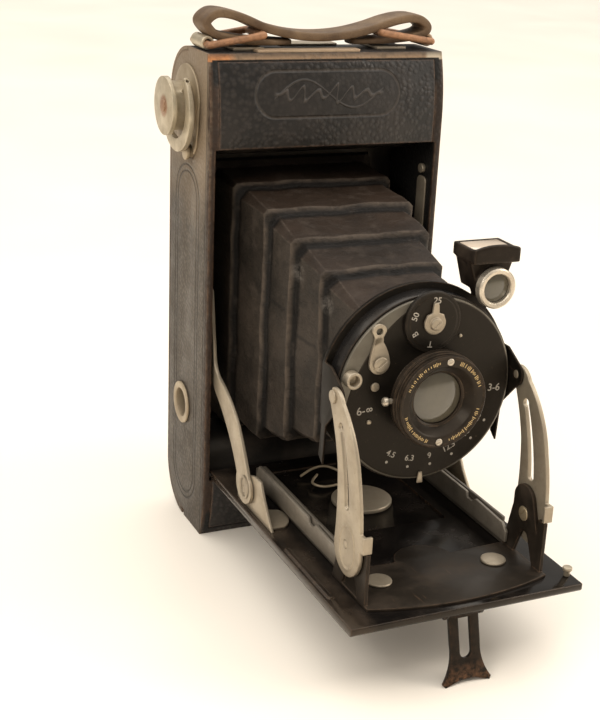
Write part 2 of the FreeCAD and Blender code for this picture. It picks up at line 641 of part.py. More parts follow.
def support_leg():
    """Two-pronged leg under the bed's front edge, splayed forward a little."""
    leg_y, leg_z = size("leg_y"), size("leg_z")
    thick = size("leg_thick")
    reach = 20.0
    outline = [
        (-4.6, 0.4), (-4.6, -9.0), ((-5.2, -15.0), (-7.5, -reach + 0.4)), (-7.0, -reach - 0.6),
        (-2.2, -reach + 0.9), (2.2, -reach + 0.9), (7.0, -reach - 0.6), (7.5, -reach + 0.4),
        ((5.2, -15.0), (4.6, -9.0)), (4.6, 0.4),
    ]
    gap = [(-1.9, -1.6), (-1.9, -11.4), ((0, -13.2), (1.9, -11.4)), (1.9, -1.6)]
    sheet_part = new_plate("y", -thick / 2, str(thick), [outline, gap])
    bore = new_rod("x", (-8, 0, 0), cell("leg_pin_radius + 0.05"), "16")
    eye = new_rod("x", (-4.6, 0, 0), "1.25", "9.2")
    leg = new_cut(new_fuse([sheet_part, eye]), bore)
    doc.recompute()
    shape = leg.Shape.copy()
    splay = FreeCAD.Placement(vec(0, leg_y, leg_z), FreeCAD.Rotation(vec(1, 0, 0), -16))
    shape.Placement = splay
    below = solid_box((-20, leg_y - 20, -10), (20, leg_y + 20, 0))
    keep(new_shape(shape.cut(below)), "support_leg")


# ---------------------------------------------------------------- lens standard
def standard_pieces():
    """Lens board, shutter case and face, and the small pieces fixed to the face."""
    lens_z, face = size("lens_z"), size("face_y")
    plate_back = face + size("plate_thick")
    case_back = plate_back + size("shutter_deep")
    # board with a cheek turned forward on each side to carry the strut heads
    half = size("ear_plane") + size("ear_thick")
    head_y, head_z = size("strut_head_y"), size("strut_head_z")
    outline = [(-half, lens_z - 9), (-half, lens_z + 8.5), ((0, lens_z + 29.4), (half, lens_z + 8.5)),
               (half, lens_z - 9), (21, lens_z - 20), (13, lens_z - 24), (-13, lens_z - 24),
               (-21, lens_z - 20)]
    board = new_plate("y", case_back, cell("board_thick"), [outline], [(0, lens_z, 8.8)])
    cheek = [(case_back + 0.2, lens_z + 9), (case_back + 0.2, lens_z - 9),
             (case_back + 1.2, lens_z - 19), (case_back - 1.4, lens_z - 21),
             (case_back - 2.4, lens_z - 9), (head_y - 1.0, head_z - 3.2),
             ((head_y - 3.2, head_z), (head_y - 1.0, head_z + 3.2)), (case_back - 4.0, lens_z + 9)]
    cheeks = []
    pins = []
    for side in (-1, 1):
        x = half - 0.6 if side > 0 else -half
        cheeks.append(new_plate("x", x, "0.6", [cheek], [(head_y, head_z, 1.25)]))
        start = half - 0.6 if side > 0 else -half - 0.2 - size("strut_thick")
        end_cap = start + 0.8 + size("strut_thick") if side > 0 else start - 0.5
        rod = new_rod("x", (start, head_y, head_z), "1.2", str(0.8 + size("strut_thick")))
        pins.append(new_fuse([rod, new_rod("x", (end_cap, head_y, head_z), "1.9", "0.5")]))
    cell_tube = new_cut(new_rod("y", (0, case_back - 0.9, lens_z), "8.9", "4.2"),
                        new_rod("y", (0, case_back - 2, lens_z), "7.0", "7"))
    x, finder_low = size("finder_x"), size("finder_low")
    post_edge = [(x - 2.2, lens_z + 16), (x + 2.2, lens_z + 16), (x + 2.2, finder_low + 3.0),
                 ((x, finder_low + 5.2), (x - 2.2, finder_low + 3.0))]
    post = new_plate("y", case_back, "1.2", [post_edge])
    swivel = new_rod("y", (x, case_back + 1.0, finder_low + 2.0), cell("finder_pin_radius"), "1.7")
    keep(new_fuse([board, cell_tube, post, swivel] + cheeks), "lens_board")
    keep(new_group(pins), "strut_head_screws")
    shell = new_rod("y", (0, plate_back, lens_z), cell("shutter_radius"), cell("shutter_deep"))
    well = new_rod("y", (0, plate_back - 1, lens_z), cell("shutter_radius - 1.4"), cell("shutter_deep"))
    throat = new_rod("y", (0, plate_back, lens_z), "9.0", "10")
    stop = new_cut(new_rod("y", (0, plate_back + 0.9, lens_z), cell("shutter_radius - 1"), "0.3"),
                   new_rod("y", (0, plate_back, lens_z), "5.2", "3"))
    keep(new_fuse([new_cut(shell, new_fuse([well, throat])), stop]), "shutter_case")
    disc = new_rod("y", (0, face, lens_z), cell("face_radius"), cell("plate_thick"))
    tube = new_rod("y", (0, face - 3.0, lens_z), cell("barrel_radius"), "3.2")
    hole = new_rod("y", (0, face - 4, lens_z), "8.0", "8")
    keep(new_cut(new_fuse([disc, tube]), hole), "shutter_front_plate")
    keep(shutter_leaves(plate_back + 2.6), "shutter_blades")
    keep(new_rod("y", (0, case_back + 0.2, lens_z), "6.95", "2.2"), "rear_lens")
    socket = new_rod("y", (-23.8, face - 3.0, lens_z + 6.2), "2.4", "3.0")
    socket_bore = new_rod("y", (-23.8, face - 3.5, lens_z + 6.2), cell("socket_radius"), "3.0")
    keep(new_cut(socket, socket_bore), "cable_socket")
    dial_start = (0, face - size("dial_thick"), size("dial_z"))
    keep(new_rod("y", dial_start, cell("dial_radius"), cell("dial_thick")), "speed_dial")
    spots = [(-16.2, lens_z + 2.8, 1.3), (-17.4, lens_z - 7.4, 0.7), (9.6, lens_z + 15.2, 0.5)]
    keep(new_group([new_rod("y", (x, face - 0.7, z), str(r), "0.7") for x, z, r in spots]), "face_screws")
    controls(face, lens_z)
    focus(face, lens_z)


def shutter_leaves(place):
    """Three thin leaves meeting in the middle of the opening."""
    leaves = []
    lens_z = size("lens_z")
    for index in range(3):
        turn = math.radians(120 * index)
        a, b = turn + 0.02, turn + math.radians(120) - 0.02
        middle = (a + b) / 2
        corners = [(0.15 * math.cos(middle), lens_z + 0.15 * math.sin(middle)),
                   (15 * math.cos(a), lens_z + 15 * math.sin(a)),
                   ((15 * math.cos(middle), lens_z + 15 * math.sin(middle)),
                    (15 * math.cos(b), lens_z + 15 * math.sin(b)))]
        leaves.append(new_plate("y", place, "0.2", [corners]))
    return new_group(leaves)


def controls(face, lens_z):
    """Speed pointer, shutter release and stop lever on the face."""
    dial_z = size("dial_z")
    tear = [(-3.2, dial_z + 0.6), ((0, dial_z - 3.2), (3.2, dial_z + 0.6)), (2.5, dial_z + 2.4),
            (1.0, dial_z + 2.9), (0.8, dial_z + 5.2), ((0, dial_z + 5.8), (-0.8, dial_z + 5.2)),
            (-1.0, dial_z + 2.9), (-2.5, dial_z + 2.4)]
    tear_plate = new_plate("y", face - size("dial_thick") - 1.0, "0.9", [tear])
    boss = new_rod("y", (0, face - size("dial_thick") - 1.9, dial_z), "1.7", "0.95")
    keep(new_fuse([tear_plate, boss]), "speed_pointer")
    low, high = (-15.6, lens_z + 9.8), (-16.2, lens_z + 19.0)
    arm = [(low[0] - 3.1, low[1]), ((low[0], low[1] - 3.1), (low[0] + 3.1, low[1])),
           ((low[0] + 2.5, low[1] + 2.6), (high[0] + 1.3, high[1] - 3.0)), (high[0] + 1.3, high[1] - 1.6),
           (high[0] + 2.1, high[1]), ((high[0], high[1] + 2.1), (high[0] - 2.1, high[1])),
           (high[0] - 1.3, high[1] - 1.6), (high[0] - 1.3, high[1] - 3.0),
           ((low[0] - 2.8, low[1] + 2.6), (low[0] - 3.1, low[1]))]
    blade = new_plate("y", face - 1.2, "1.0", [arm], [(high[0], high[1], 1.0)])
    screw = new_rod("y", (low[0], face - 2.0, low[1]), "1.5", "0.9")
    keep(new_fuse([blade, screw]), "release_lever")
    reach = size("face_radius")
    pointer = [(-0.5, lens_z - reach + 2.2), (0.5, lens_z - reach + 2.2), (0.9, lens_z - reach - 1.2),
               (-0.9, lens_z - reach - 1.2)]
    keep(new_plate("y", face - 0.9, "0.7", [pointer]), "aperture_lever")


def focus(face, lens_z):
    """Front-cell focusing ring with its index tab, and the front element in it."""
    front = face - 3.0 - size("focus_deep")
    ring = new_rod("y", (0, front, lens_z), cell("focus_radius"), cell("focus_deep"))
    bowl = doc.addObject("Part::Cone", "bowl")
    bowl.Radius1 = 10.6
    bowl.Radius2 = 7.4
    bowl.Height = 3.0
    bowl.Placement = FreeCAD.Placement(vec(0, front - 0.01, lens_z), TURNS["y"])
    throat = new_rod("y", (0, front - 1, lens_z), "7.35", "12")
    tab = new_rod("x", (-16.4, front + 5.0, lens_z + 0.3), "1.1", "3.6")
    studs = []
    for x, z in ((2.2, 11.8), (-1.2, -11.9)):
        studs.append(new_rod("y", (x, front - 0.35, lens_z + z), "0.9", "0.6"))
    keep(new_cut(new_fuse([ring, tab] + studs), new_fuse([bowl, throat])), "focus_ring")
    dome = Part.makeSphere(16.0, vec(0, front + 2.4 + 16.0, lens_z))
    slug = Part.makeCylinder(size("glass_radius"), 3.4, vec(0, front + 2.2, lens_z), vec(0, 1, 0))
    keep(new_shape(slug.common(dome)), "front_lens")


def finder_pieces():
    """Reflecting finder on a post, free to tip over for pictures across the film."""
    x, half = size("finder_x"), size("finder_half")
    low, top = size("finder_low"), size("finder_top")
    front, back = size("finder_front"), size("finder_back")
    wide = [(x - half, top - 5.0), (x + half, top - 5.0), (x + half, top - 1.2), (x - half, top - 1.2)]
    hood = new_plate("y", front + 0.6, str(back - front - 0.6), [wide])
    eye_x, eye_z = x + 0.4, low + 7.5
    taper = [(x - 3.6, low + 4.1), (x + 3.6, low + 4.1), (x + half - 0.4, top - 5.0),
             (x - half + 0.4, top - 5.0)]
    bowl = new_plate("y", front + 2.4, "4.2", [taper])
    rear = [(x - 4.6, low + 6.2), (x + 4.6, low + 6.2), (x + half - 0.4, top - 5.0),
            (x - half + 0.4, top - 5.0)]
    bowl_rear = new_plate("y", front + 6.5, str(back - front - 7.5), [rear])
    barrel = new_rod("y", (eye_x, front - 0.6, eye_z), "5.4", "3.4")
    bore = new_rod("y", (eye_x, front - 1.2, eye_z), "4.3", "3.6")
    brow_edge = [(x - half, top - 5.2), (x + half, top - 5.2), (x + half, top - 1.0),
                 ((x, top + 0.2), (x - half, top - 1.0))]
    brow = new_plate("y", front - 0.4, "1.4", [brow_edge])
    ear_edge = [(x - 2.2, low + 7.2), (x - 2.2, low + 2.0), ((x, low - 0.2), (x + 2.2, low + 2.0)),
                (x + 2.2, low + 7.2)]
    ear = new_plate("y", size("finder_ear_y"), "1.0", [ear_edge],
                    [(x, low + 2.0, size("finder_pin_radius") + 0.1)])
    pocket = new_box((x - half + 1.2, front + 2.2, top - 2.4), (x + half - 1.2, back - 1.2, top + 1))
    outside = new_fuse([hood, bowl, bowl_rear, barrel, brow, ear])
    keep(new_cut(outside, new_fuse([bore, pocket])), "finder_body")
    keep(new_rod("y", (eye_x, front + 0.4, eye_z), "4.25", "1.6"), "finder_front_lens")
    lens = new_box((x - half + 1.3, front + 2.3, top - 2.35), (x + half - 1.3, back - 1.3, top - 1.35))
    keep(lens, "finder_top_lens")


case_pieces()
inner_frame()
spool("take_up_spool", size("spool_top_z"), True)
spool("supply_spool", size("spool_low_z"), False)
spool_pins()
roller("film_roller_top", 124.6)
roller("film_roller_low", 28.6)
back_pieces()
side_pieces()
winding_key()
top_pieces()
bellows()
case_hardware()
bed_pieces()
brace("brace_left", -1)
brace("brace_right", 1)
strut("strut_left", -1)
strut("strut_right", 1)
link("link_left", -1)
link("link_right", 1)
support_leg()
standard_pieces()
finder_pieces()
doc.recompute()

for item in doc.Objects:
    if "Invalid" in item.State or "Error" in item.State:
        raise RuntimeError("failed feature: %s %s" % (item.Name, item.State))
os.makedirs("parts", exist_ok=True)
for node in NODES:
    if node.Shape.isNull() or not node.Shape.isValid():
        raise RuntimeError("bad shape: " + node.Label)
    node.Shape.exportStep("parts/%s.step" % node.Label)
print(len(NODES), "sub-parts written")
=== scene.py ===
"""Looks of the folding roll-film camera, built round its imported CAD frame."""

import json
import math
import random

import bmesh
import bpy
from mathutils import Matrix, Vector, noise


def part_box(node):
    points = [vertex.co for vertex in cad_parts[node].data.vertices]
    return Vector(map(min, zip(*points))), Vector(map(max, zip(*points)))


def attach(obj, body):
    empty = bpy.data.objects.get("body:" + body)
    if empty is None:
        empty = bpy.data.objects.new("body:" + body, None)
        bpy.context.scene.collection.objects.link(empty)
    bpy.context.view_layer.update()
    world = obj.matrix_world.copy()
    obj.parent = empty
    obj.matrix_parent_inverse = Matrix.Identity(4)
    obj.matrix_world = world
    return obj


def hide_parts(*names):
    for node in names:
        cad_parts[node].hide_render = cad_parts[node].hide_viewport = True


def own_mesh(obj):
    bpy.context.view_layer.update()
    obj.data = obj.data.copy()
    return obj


MM = 0.001
# tint of what the black enamel reflects
WARM_SHEEN = (1.0, 0.84, 0.66, 1)
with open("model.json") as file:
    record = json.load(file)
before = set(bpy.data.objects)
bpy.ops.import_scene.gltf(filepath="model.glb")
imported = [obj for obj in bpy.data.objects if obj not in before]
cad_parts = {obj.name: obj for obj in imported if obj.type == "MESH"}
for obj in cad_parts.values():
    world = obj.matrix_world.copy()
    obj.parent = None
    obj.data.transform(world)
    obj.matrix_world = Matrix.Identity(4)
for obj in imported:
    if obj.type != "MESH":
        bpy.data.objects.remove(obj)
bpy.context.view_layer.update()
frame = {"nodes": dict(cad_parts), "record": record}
NODES = frame["nodes"]
RECORD = frame["record"]
BODY_OF = {node: body for body, nodes in RECORD["behaviour"]["bodies"].items() for node in nodes}


def box_mm(node):
    """A node's lowest and highest corners in millimetres."""
    low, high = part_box(node)
    return Vector(low) / MM, Vector(high) / MM


def centre_mm(node):
    low, high = box_mm(node)
    return (low + high) / 2


CASE_LOW, CASE_HIGH = box_mm("front_shell")
LENS = centre_mm("front_lens")
BELLOWS_Z = centre_mm("bellows").z
BELLOWS_LOW, BELLOWS_HIGH = box_mm("bellows")
# back edge, ridges and front edge: distance along the lens axis, half width, half height
BELLOWS_RIDGES = ((BELLOWS_HIGH.y, 29.6, 43.6), (-8.0, 27.6, 40.8), (-28.0, 25.2, 37.0), (-43.5, 23.0, 32.0),
                  (-58.5, 19.8, 26.4), (BELLOWS_LOW.y, 18.2, 21.4))
# the black shutter face lies just in front of its metal plate
FACE_Y = box_mm("speed_dial")[1].y - 0.15
BED_LOW_Z = centre_mm("bed_hinge_pin").z - 1.25
# pivots seen from the side: distance along the lens axis and height
STRUT_FOOT, STRUT_HEAD = (-103.6, 37.6), (-90.5, 76.5)
STRUT_EAR_SCREW = (-102.5, 38.0)
STRUT_EAR_X = 27.3
BRACE_FOOT = (-45.4, 30.6)


def add_object(name, data):
    """A new object that holds the data, linked to the scene."""
    made = bpy.data.objects.new(name, data)
    bpy.context.scene.collection.objects.link(made)
    return made


# ------------------------------------------------------------ camera and light
def add_camera():
    """The camera looks from the front left and a little above."""
    azimuth, elevation, roll = math.radians(-26.32), math.radians(21.34), math.radians(3.14)
    distance, focal = 410.2, 69.2
    aim = Vector((-13.35, -58.0, 62.25))
    back = Vector((math.sin(azimuth) * math.cos(elevation), -math.cos(azimuth) * math.cos(elevation),
                   math.sin(elevation)))
    flat_right = (-back).cross(Vector((0, 0, 1))).normalized()
    flat_up = back.cross(flat_right)
    right = flat_right * math.cos(roll) + flat_up * math.sin(roll)
    up = flat_up * math.cos(roll) - flat_right * math.sin(roll)
    place = (aim + back * distance) * MM
    data = bpy.data.cameras.new("camera")
    data.lens = focal
    data.shift_x, data.shift_y = -0.048, 0.051
    data.clip_start = 0.01
    camera = add_object("camera", data)
    camera.matrix_world = Matrix((
        (right.x, up.x, back.x, place.x),
        (right.y, up.y, back.y, place.y),
        (right.z, up.z, back.z, place.z),
        (0, 0, 0, 1),
    ))
    bpy.context.scene.camera = camera


def add_area(name, place, aim, size, power, colour):
    data = bpy.data.lights.new(name, "AREA")
    data.shape = "RECTANGLE"
    data.size, data.size_y = size
    data.energy = power
    data.color = colour
    lamp = add_object(name, data)
    lamp.location = place
    lamp.rotation_euler = (Vector(aim) - Vector(place)).to_track_quat("-Z", "Y").to_euler()


def add_light():
    aim = (0, -0.05, 0.06)
    add_area("overhead", (0, 1.3, 3.0), (0, 1.3, 0), (6.5, 6.5), 245.0, (1.0, 0.965, 0.91))
    add_area("key", (-0.75, -0.55, 0.6), aim, (0.5, 0.5), 4.0, (1.0, 0.95, 0.88))
    add_area("right", (0.85, -0.45, 0.5), aim, (0.4, 0.7), 4.6, (1.0, 0.92, 0.82))
    world = bpy.data.worlds.new("studio")
    world.use_nodes = True
    sky = world.node_tree.nodes["Background"]
    sky.inputs["Color"].default_value = (1.0, 0.955, 0.88, 1)
    sky.inputs["Strength"].default_value = 0.34
    bpy.context.scene.world = world
    bpy.context.scene.view_settings.view_transform = "Standard"


# ------------------------------------------------------------ material building
class Value:
    """A node's output that can be added, subtracted and multiplied like a number."""

    def __init__(self, look, socket):
        self.look, self.socket = look, socket

    def __add__(self, other):
        return self.look.maths("ADD", self, other)

    __radd__ = __add__

    def __sub__(self, other):
        return self.look.maths("SUBTRACT", self, other)

    def __mul__(self, other):
        return self.look.maths("MULTIPLY", self, other)

    def __abs__(self):
        return self.look.maths("ABSOLUTE", self)

    def span(self, low, high, start=0.0, end=1.0):
        """The value carried from low..high to start..end, held at both ends."""
        made = self.look.node("ShaderNodeMapRange")
        for socket, number in zip(("Value", "From Min", "From Max", "To Min", "To Max"),
                                  (self, low, high, start, end)):
            self.look.feed(made.inputs[socket], number)
        return Value(self.look, made.outputs[0])

    def line(self, core, fade, strength=1.0):
        """Full strength up to core millimetres away, gone at fade millimetres."""
        return self.span(core * MM, fade * MM, strength, 0.0)


class Look:
    """One procedural material. Coordinates are the piece's own, in metres at rest."""

    def __init__(self, name, roughness=0.5, metallic=0.0, **sockets):
        self.material = bpy.data.materials.new(name)
        self.material.use_nodes = True
        self.tree = self.material.node_tree
        self.shader = self.tree.nodes["Principled BSDF"]
        self.shader.inputs["Roughness"].default_value = roughness
        self.shader.inputs["Metallic"].default_value = metallic
        for socket, value in sockets.items():
            self.shader.inputs[socket.replace("_", " ")].default_value = value
        self.place = Value(self, self.node("ShaderNodeTexCoord").outputs["Object"])
        self.colour = None

    def node(self, kind, **settings):
        made = self.tree.nodes.new(kind)
        for key, value in settings.items():
            setattr(made, key, value)
        return made

    def feed(self, socket, value):
        if isinstance(value, Value):
            self.tree.links.new(value.socket, socket)
        else:
            socket.default_value = value

    def noise(self, millimetres, detail=4.0, roughness=0.55, stretch=(1, 1, 1), distortion=0.0):
        """Soft noise whose patches are about so many millimetres across."""
        texture = self.node("ShaderNodeTexNoise")
        for socket, number in (("Scale", 1.0 / (millimetres * MM)), ("Detail", detail),
                               ("Roughness", roughness), ("Distortion", distortion)):
            texture.inputs[socket].default_value = number
        self.feed(texture.inputs["Vector"], self.stretched(stretch))
        return Value(self, texture.outputs["Fac"])

    def cells(self, millimetres, feature="F1"):
        """Distances in a net of cells about so many millimetres across."""
        texture = self.node("ShaderNodeTexVoronoi", feature=feature)
        texture.inputs["Scale"].default_value = 1.0 / (millimetres * MM)
        self.feed(texture.inputs["Vector"], self.place)
        return Value(self, texture.outputs["Distance"])

    def stretched(self, stretch):
        if tuple(stretch) == (1, 1, 1):
            return self.place
        mapping = self.node("ShaderNodeMapping")
        mapping.inputs["Scale"].default_value = stretch
        self.feed(mapping.inputs["Vector"], self.place)
        return Value(self, mapping.outputs["Vector"])

    def part_of(self, vector, letter):
        split = self.node("ShaderNodeSeparateXYZ")
        self.feed(split.inputs[0], vector)
        return Value(self, split.outputs[letter])

    def axis(self, letter):
        return self.part_of(self.place, letter)

    def facing(self, letter):
        """How far the surface faces along an axis of the object."""
        return self.part_of(self.flat_normal(), letter)

    def flat_normal(self):
        return Value(self, self.node("ShaderNodeNewGeometry").outputs["Normal"])

    def maths(self, operation, first, second=0.0):
        made = self.node("ShaderNodeMath", operation=operation)
        self.feed(made.inputs[0], first)
        self.feed(made.inputs[1], second)
        return Value(self, made.outputs[0])

    def reach(self, first, second):
        """Distance from the middle, given the distances along two axes."""
        return self.maths("SQRT", first * first + second * second)

    def mix(self, amount, first, second):
        made = self.node("ShaderNodeMix", data_type="RGBA")
        self.feed(made.inputs[0], amount)
        for socket, colour in ((6, first), (7, second)):
            self.feed(made.inputs[socket], colour if isinstance(colour, Value) else (*colour, 1))
        return Value(self, made.outputs[2])

    def over(self, amount, colour):
        """Lay a colour over what is there."""
        self.colour = self.mix(amount, self.colour, colour)

    def edges(self, millimetres):
        """1 along sharp edges and 0 on flat stretches, with the softened normal beside it."""
        bevel = self.node("ShaderNodeBevel", samples=4)
        bevel.inputs["Radius"].default_value = millimetres * MM
        soft = Value(self, bevel.outputs[0])
        dot = self.node("ShaderNodeVectorMath", operation="DOT_PRODUCT")
        self.feed(dot.inputs[0], soft)
        self.feed(dot.inputs[1], self.flat_normal())
        return Value(self, dot.outputs["Value"]).span(0.995, 0.86), soft

    def finish(self, roughness, height=None, millimetres=None, normal=None):
        """The material, with a bump so many millimetres high if there is a height."""
        self.feed(self.shader.inputs["Base Color"], self.colour)
        self.feed(self.shader.inputs["Roughness"], roughness)
        if height is not None:
            bump = self.node("ShaderNodeBump")
            bump.inputs["Distance"].default_value = millimetres * MM
            self.feed(bump.inputs["Height"], height)
            self.feed(bump.inputs["Normal"], normal)
            self.feed(self.shader.inputs["Normal"], Value(self, bump.outputs["Normal"]))
        return self.material


def strap_leather():
    """Hand-worn plain leather with fine creases."""
    look = Look("strap_leather", Specular_IOR_Level=0.2)
    base, dark, light = (0.185, 0.120, 0.068), (0.085, 0.052, 0.030), (0.32, 0.215, 0.125)
    broad = look.noise(9.0, 5.0)
    fine = look.noise(0.8, 4.0, 0.7)
    creases = look.cells(3.4, "DISTANCE_TO_EDGE")
    look.colour = look.mix(broad.span(0.35, 0.7), dark, base)
    look.over(creases.span(0.03, 0.0, 0.0, 0.4), dark)
    rim, soft = look.edges(0.7)
    look.over(rim * 0.75, light)
    height = fine * 0.5 + creases.span(0.0, 0.05, 0.0, 0.6)
    return look.finish(fine.span(0.3, 0.7, 0.46, 0.61), height, 0.05, soft)


def bellows_leather():
    """Thin dark leather, brown with dust, rubbed pale along the folds and corners; painted shade on the tops,
    in the creases and along two dents, and a painted highlight along each ridge.
    """
    look = Look("bellows_leather", Specular_IOR_Level=0.18)
    broad = look.noise(20.0, 6.0, 0.6)
    patch = look.noise(6.0, 6.0, 0.65, distortion=0.4)
    fine = look.noise(0.45, 4.0, 0.7)
    # painted shade: the upward-facing tops get a darker, browner copy of the leather than the sides
    top_shade_mask = look.facing("Z").span(0.25, 0.85)
    sides = look.mix(broad.span(0.35, 0.65), (0.017, 0.014, 0.0110), (0.044, 0.034, 0.026))
    shaded_tops = look.mix(broad.span(0.35, 0.65), (0.017, 0.0115, 0.0078), (0.036, 0.023, 0.0155))
    look.colour = look.mix(top_shade_mask, sides, shaded_tops)
    look.over(patch.span(0.52, 0.72, 0.0, 0.4), (0.078, 0.060, 0.047))
    rim, soft = look.edges(1.0)
    rubbed = rim * look.noise(4.0, 6.0, 0.7).span(0.38, 0.62, 0.1, 0.9)
    look.over(rubbed, (0.135, 0.105, 0.083))
    # painted shadow: a dark line in the crease in front of each ridge; a pale line of wear and painted
    # highlight along each ridge; and two dents across the side panels, drawn as lines of painted shade
    y, z = look.axis("Y"), look.axis("Z")
    for ridge, _, _ in BELLOWS_RIDGES[1:-1]:
        # painted shadow in the crease just in front of the ridge
        off = abs(y - (ridge - 1.5) * MM)
        crease_shadow = off.line(0.5, 1.9, 0.9) * patch.span(0.2, 0.45)
        look.over(crease_shadow, (0.004, 0.0032, 0.0026))
        # along each ridge a pale line that is partly wear and partly painted highlight
        off = abs(y - ridge * MM)
        worn = off.line(0.2, 0.8, 0.7) * patch.span(0.35, 0.6)
        look.over(worn, (0.105, 0.080, 0.060))
    # painted shade: each dent is drawn only as a dark line across the side panels
    side = abs(look.facing("X")).span(0.5, 0.8)
    for height, start, end in ((84.0, -30.0, -42.0), (77.0, -45.0, -57.0)):
        dent = z - (height * MM + patch * (2 * MM))
        line = abs(dent).line(0.2, 0.9, 0.6)
        line = line * look.maths("LESS_THAN", y, start * MM)
        line = line * look.maths("GREATER_THAN", y, end * MM)
        look.over(line * side, (0.008, 0.007, 0.006))
    # pale rubs on the two lower ridges at their left top corners
    for ridge, wide, tall in BELLOWS_RIDGES[3:5]:
        spot = look.node("ShaderNodeVectorMath", operation="DISTANCE")
        look.feed(spot.inputs[0], look.place)
        spot.inputs[1].default_value = (-(wide - 1.5) * MM, (ridge - 2.5) * MM, (BELLOWS_Z + tall - 9.5) * MM)
        ragged = look.noise(1.8, 6.0, 0.8).span(0.42, 0.66)
        rub = Value(look, spot.outputs["Value"]).line(1.3, 3.6) * ragged
        look.over(rub * 0.75, (0.17, 0.15, 0.13))
    wrinkles = look.noise(5.0, 5.0, 0.6, stretch=(1, 1, 2.2), distortion=0.8)
    height = wrinkles * 2.4 + fine * 0.35
    return look.finish(patch.span(0.3, 0.7, 0.46, 0.66), height, 0.22, soft)


def old_nickel(name, base, dull, roughness, metallic):
    """Nickel plate gone warm and matt, with brown specks and polished edges."""
    look = Look(name, metallic=metallic)
    cloud = look.noise(7.0, 6.0, 0.62)
    specks = look.noise(0.9, 3.0, 0.6)
    brushed = look.noise(0.35, 2.0, 0.5, stretch=(1, 1, 0.12))
    look.colour = look.mix(cloud.span(0.36, 0.66), base, tuple((a + b) / 2 for a, b in zip(base, dull)))
    look.over(specks.span(0.63, 0.74, 0.0, 0.7), dull)
    rim, soft = look.edges(0.35)
    look.over(rim * 0.35, tuple(min(1.0, 1.25 * c) for c in base))
    rough = (cloud + brushed * 0.3).span(0.4, 0.9, roughness - 0.06, roughness + 0.16)
    height = specks * 0.5 + brushed * 0.4
    return look.finish(rough, height, 0.02, soft)


def black_lacquer(name, base=(0.012, 0.011, 0.0105), worn=(0.11, 0.066, 0.04), roughness=0.2, wear=0.8,
                  dust=0.25, shine=0.26):
    """Glossy stove enamel with brown rubbed edges, fine scratches and a little dust."""
    look = Look(name, Specular_IOR_Level=shine, Specular_Tint=WARM_SHEEN, Coat_Weight=0.03,
                Coat_Roughness=0.08)
    cloud = look.noise(11.0, 6.0, 0.6)
    scratch = look.noise(1.1, 3.0, 0.7, stretch=(1, 0.08, 1))
    rim, soft = look.edges(0.5)
    scuff = rim * look.noise(2.4, 6.0, 0.7).span(0.36, 0.6)
    look.colour = look.mix(cloud.span(0.48, 0.75, 0.0, dust), base, (0.085, 0.062, 0.045))
    look.over(scratch.span(0.66, 0.74, 0.0, 0.35), worn)
    look.over(scuff * wear, worn)
    rough = cloud.span(0.35, 0.7, roughness, roughness + 0.22)
    return look.finish(rough, scratch + cloud, 0.012, soft)


def bed_finish():
    """Glossy black inside the bed, pebbled leather on its outer face."""
    look = Look("bed_black", Specular_IOR_Level=0.3, Specular_Tint=WARM_SHEEN, Coat_Weight=0.1,
                Coat_Roughness=0.08)
    outer = look.axis("Z").span((BED_LOW_Z + 0.35) * MM, (BED_LOW_Z + 0.2) * MM)
    cloud = look.noise(11.0, 6.0, 0.6)
    pebbles = look.cells(1.5)
    rim, soft = look.edges(0.5)
    scuff = rim * look.noise(2.4, 6.0, 0.7).span(0.36, 0.6)
    enamel = look.mix(cloud.span(0.48, 0.75, 0.0, 0.12), (0.006, 0.005, 0.0045), (0.085, 0.062, 0.045))
    # dust and brown rubbing on the margin outside the left rail
    margin = look.axis("X").span(-28 * MM, -31 * MM) * cloud.span(0.3, 0.6, 0.1, 0.5)
    enamel = look.mix(margin, enamel, (0.060, 0.043, 0.030))
    leather = look.mix(pebbles.span(0.25, 0.6), (0.024, 0.020, 0.0175), (0.011, 0.0095, 0.0085))
    look.colour = look.mix(outer, enamel, leather)
    look.over(scuff, (0.13, 0.075, 0.043))
    gloss = cloud.span(0.35, 0.7, 0.12, 0.32)
    rough = gloss + outer * 0.25
    grain = pebbles.span(0.1, 0.65, 1.0, 0.0) * outer
    height = grain + cloud * 0.08
    return look.finish(rough, height, 0.16, soft)


def rusty(name, base, dark, roughness, metallic=0.35):
    """Iron with soft patches of rust and fine pits."""
    look = Look(name, metallic=metallic)
    cloud = look.noise(3.0, 6.0, 0.7)
    pits = look.noise(0.5, 4.0, 0.7)
    look.colour = look.mix(cloud.span(0.35, 0.65), base, dark)
    rim, soft = look.edges(0.4)
    look.over(rim * 0.4, tuple(min(1.0, 1.5 * c) for c in base))
    return look.finish(pits.span(0.3, 0.7, roughness - 0.1, roughness + 0.15), pits, 0.06, soft)


def leg_iron():
    """Black leg, rusted brown along its foot."""
    look = Look("leg_iron", Specular_IOR_Level=0.22, Specular_Tint=WARM_SHEEN)
    patches = look.noise(2.2, 6.0, 0.7)
    pits = look.noise(0.5, 4.0, 0.7)
    look.colour = look.mix(patches.span(0.4, 0.7), (0.008, 0.0062, 0.005), (0.024, 0.015, 0.010))
    foot = look.axis("Z").span(6.5 * MM, 2.0 * MM) * patches.span(0.42, 0.6)
    look.over(foot * 0.8, (0.13, 0.062, 0.032))
    rim, soft = look.edges(0.5)
    look.over(rim * patches.span(0.4, 0.6, 0.0, 0.6), (0.10, 0.055, 0.032))
    return look.finish(pits.span(0.3, 0.7, 0.3, 0.5), pits, 0.05, soft)


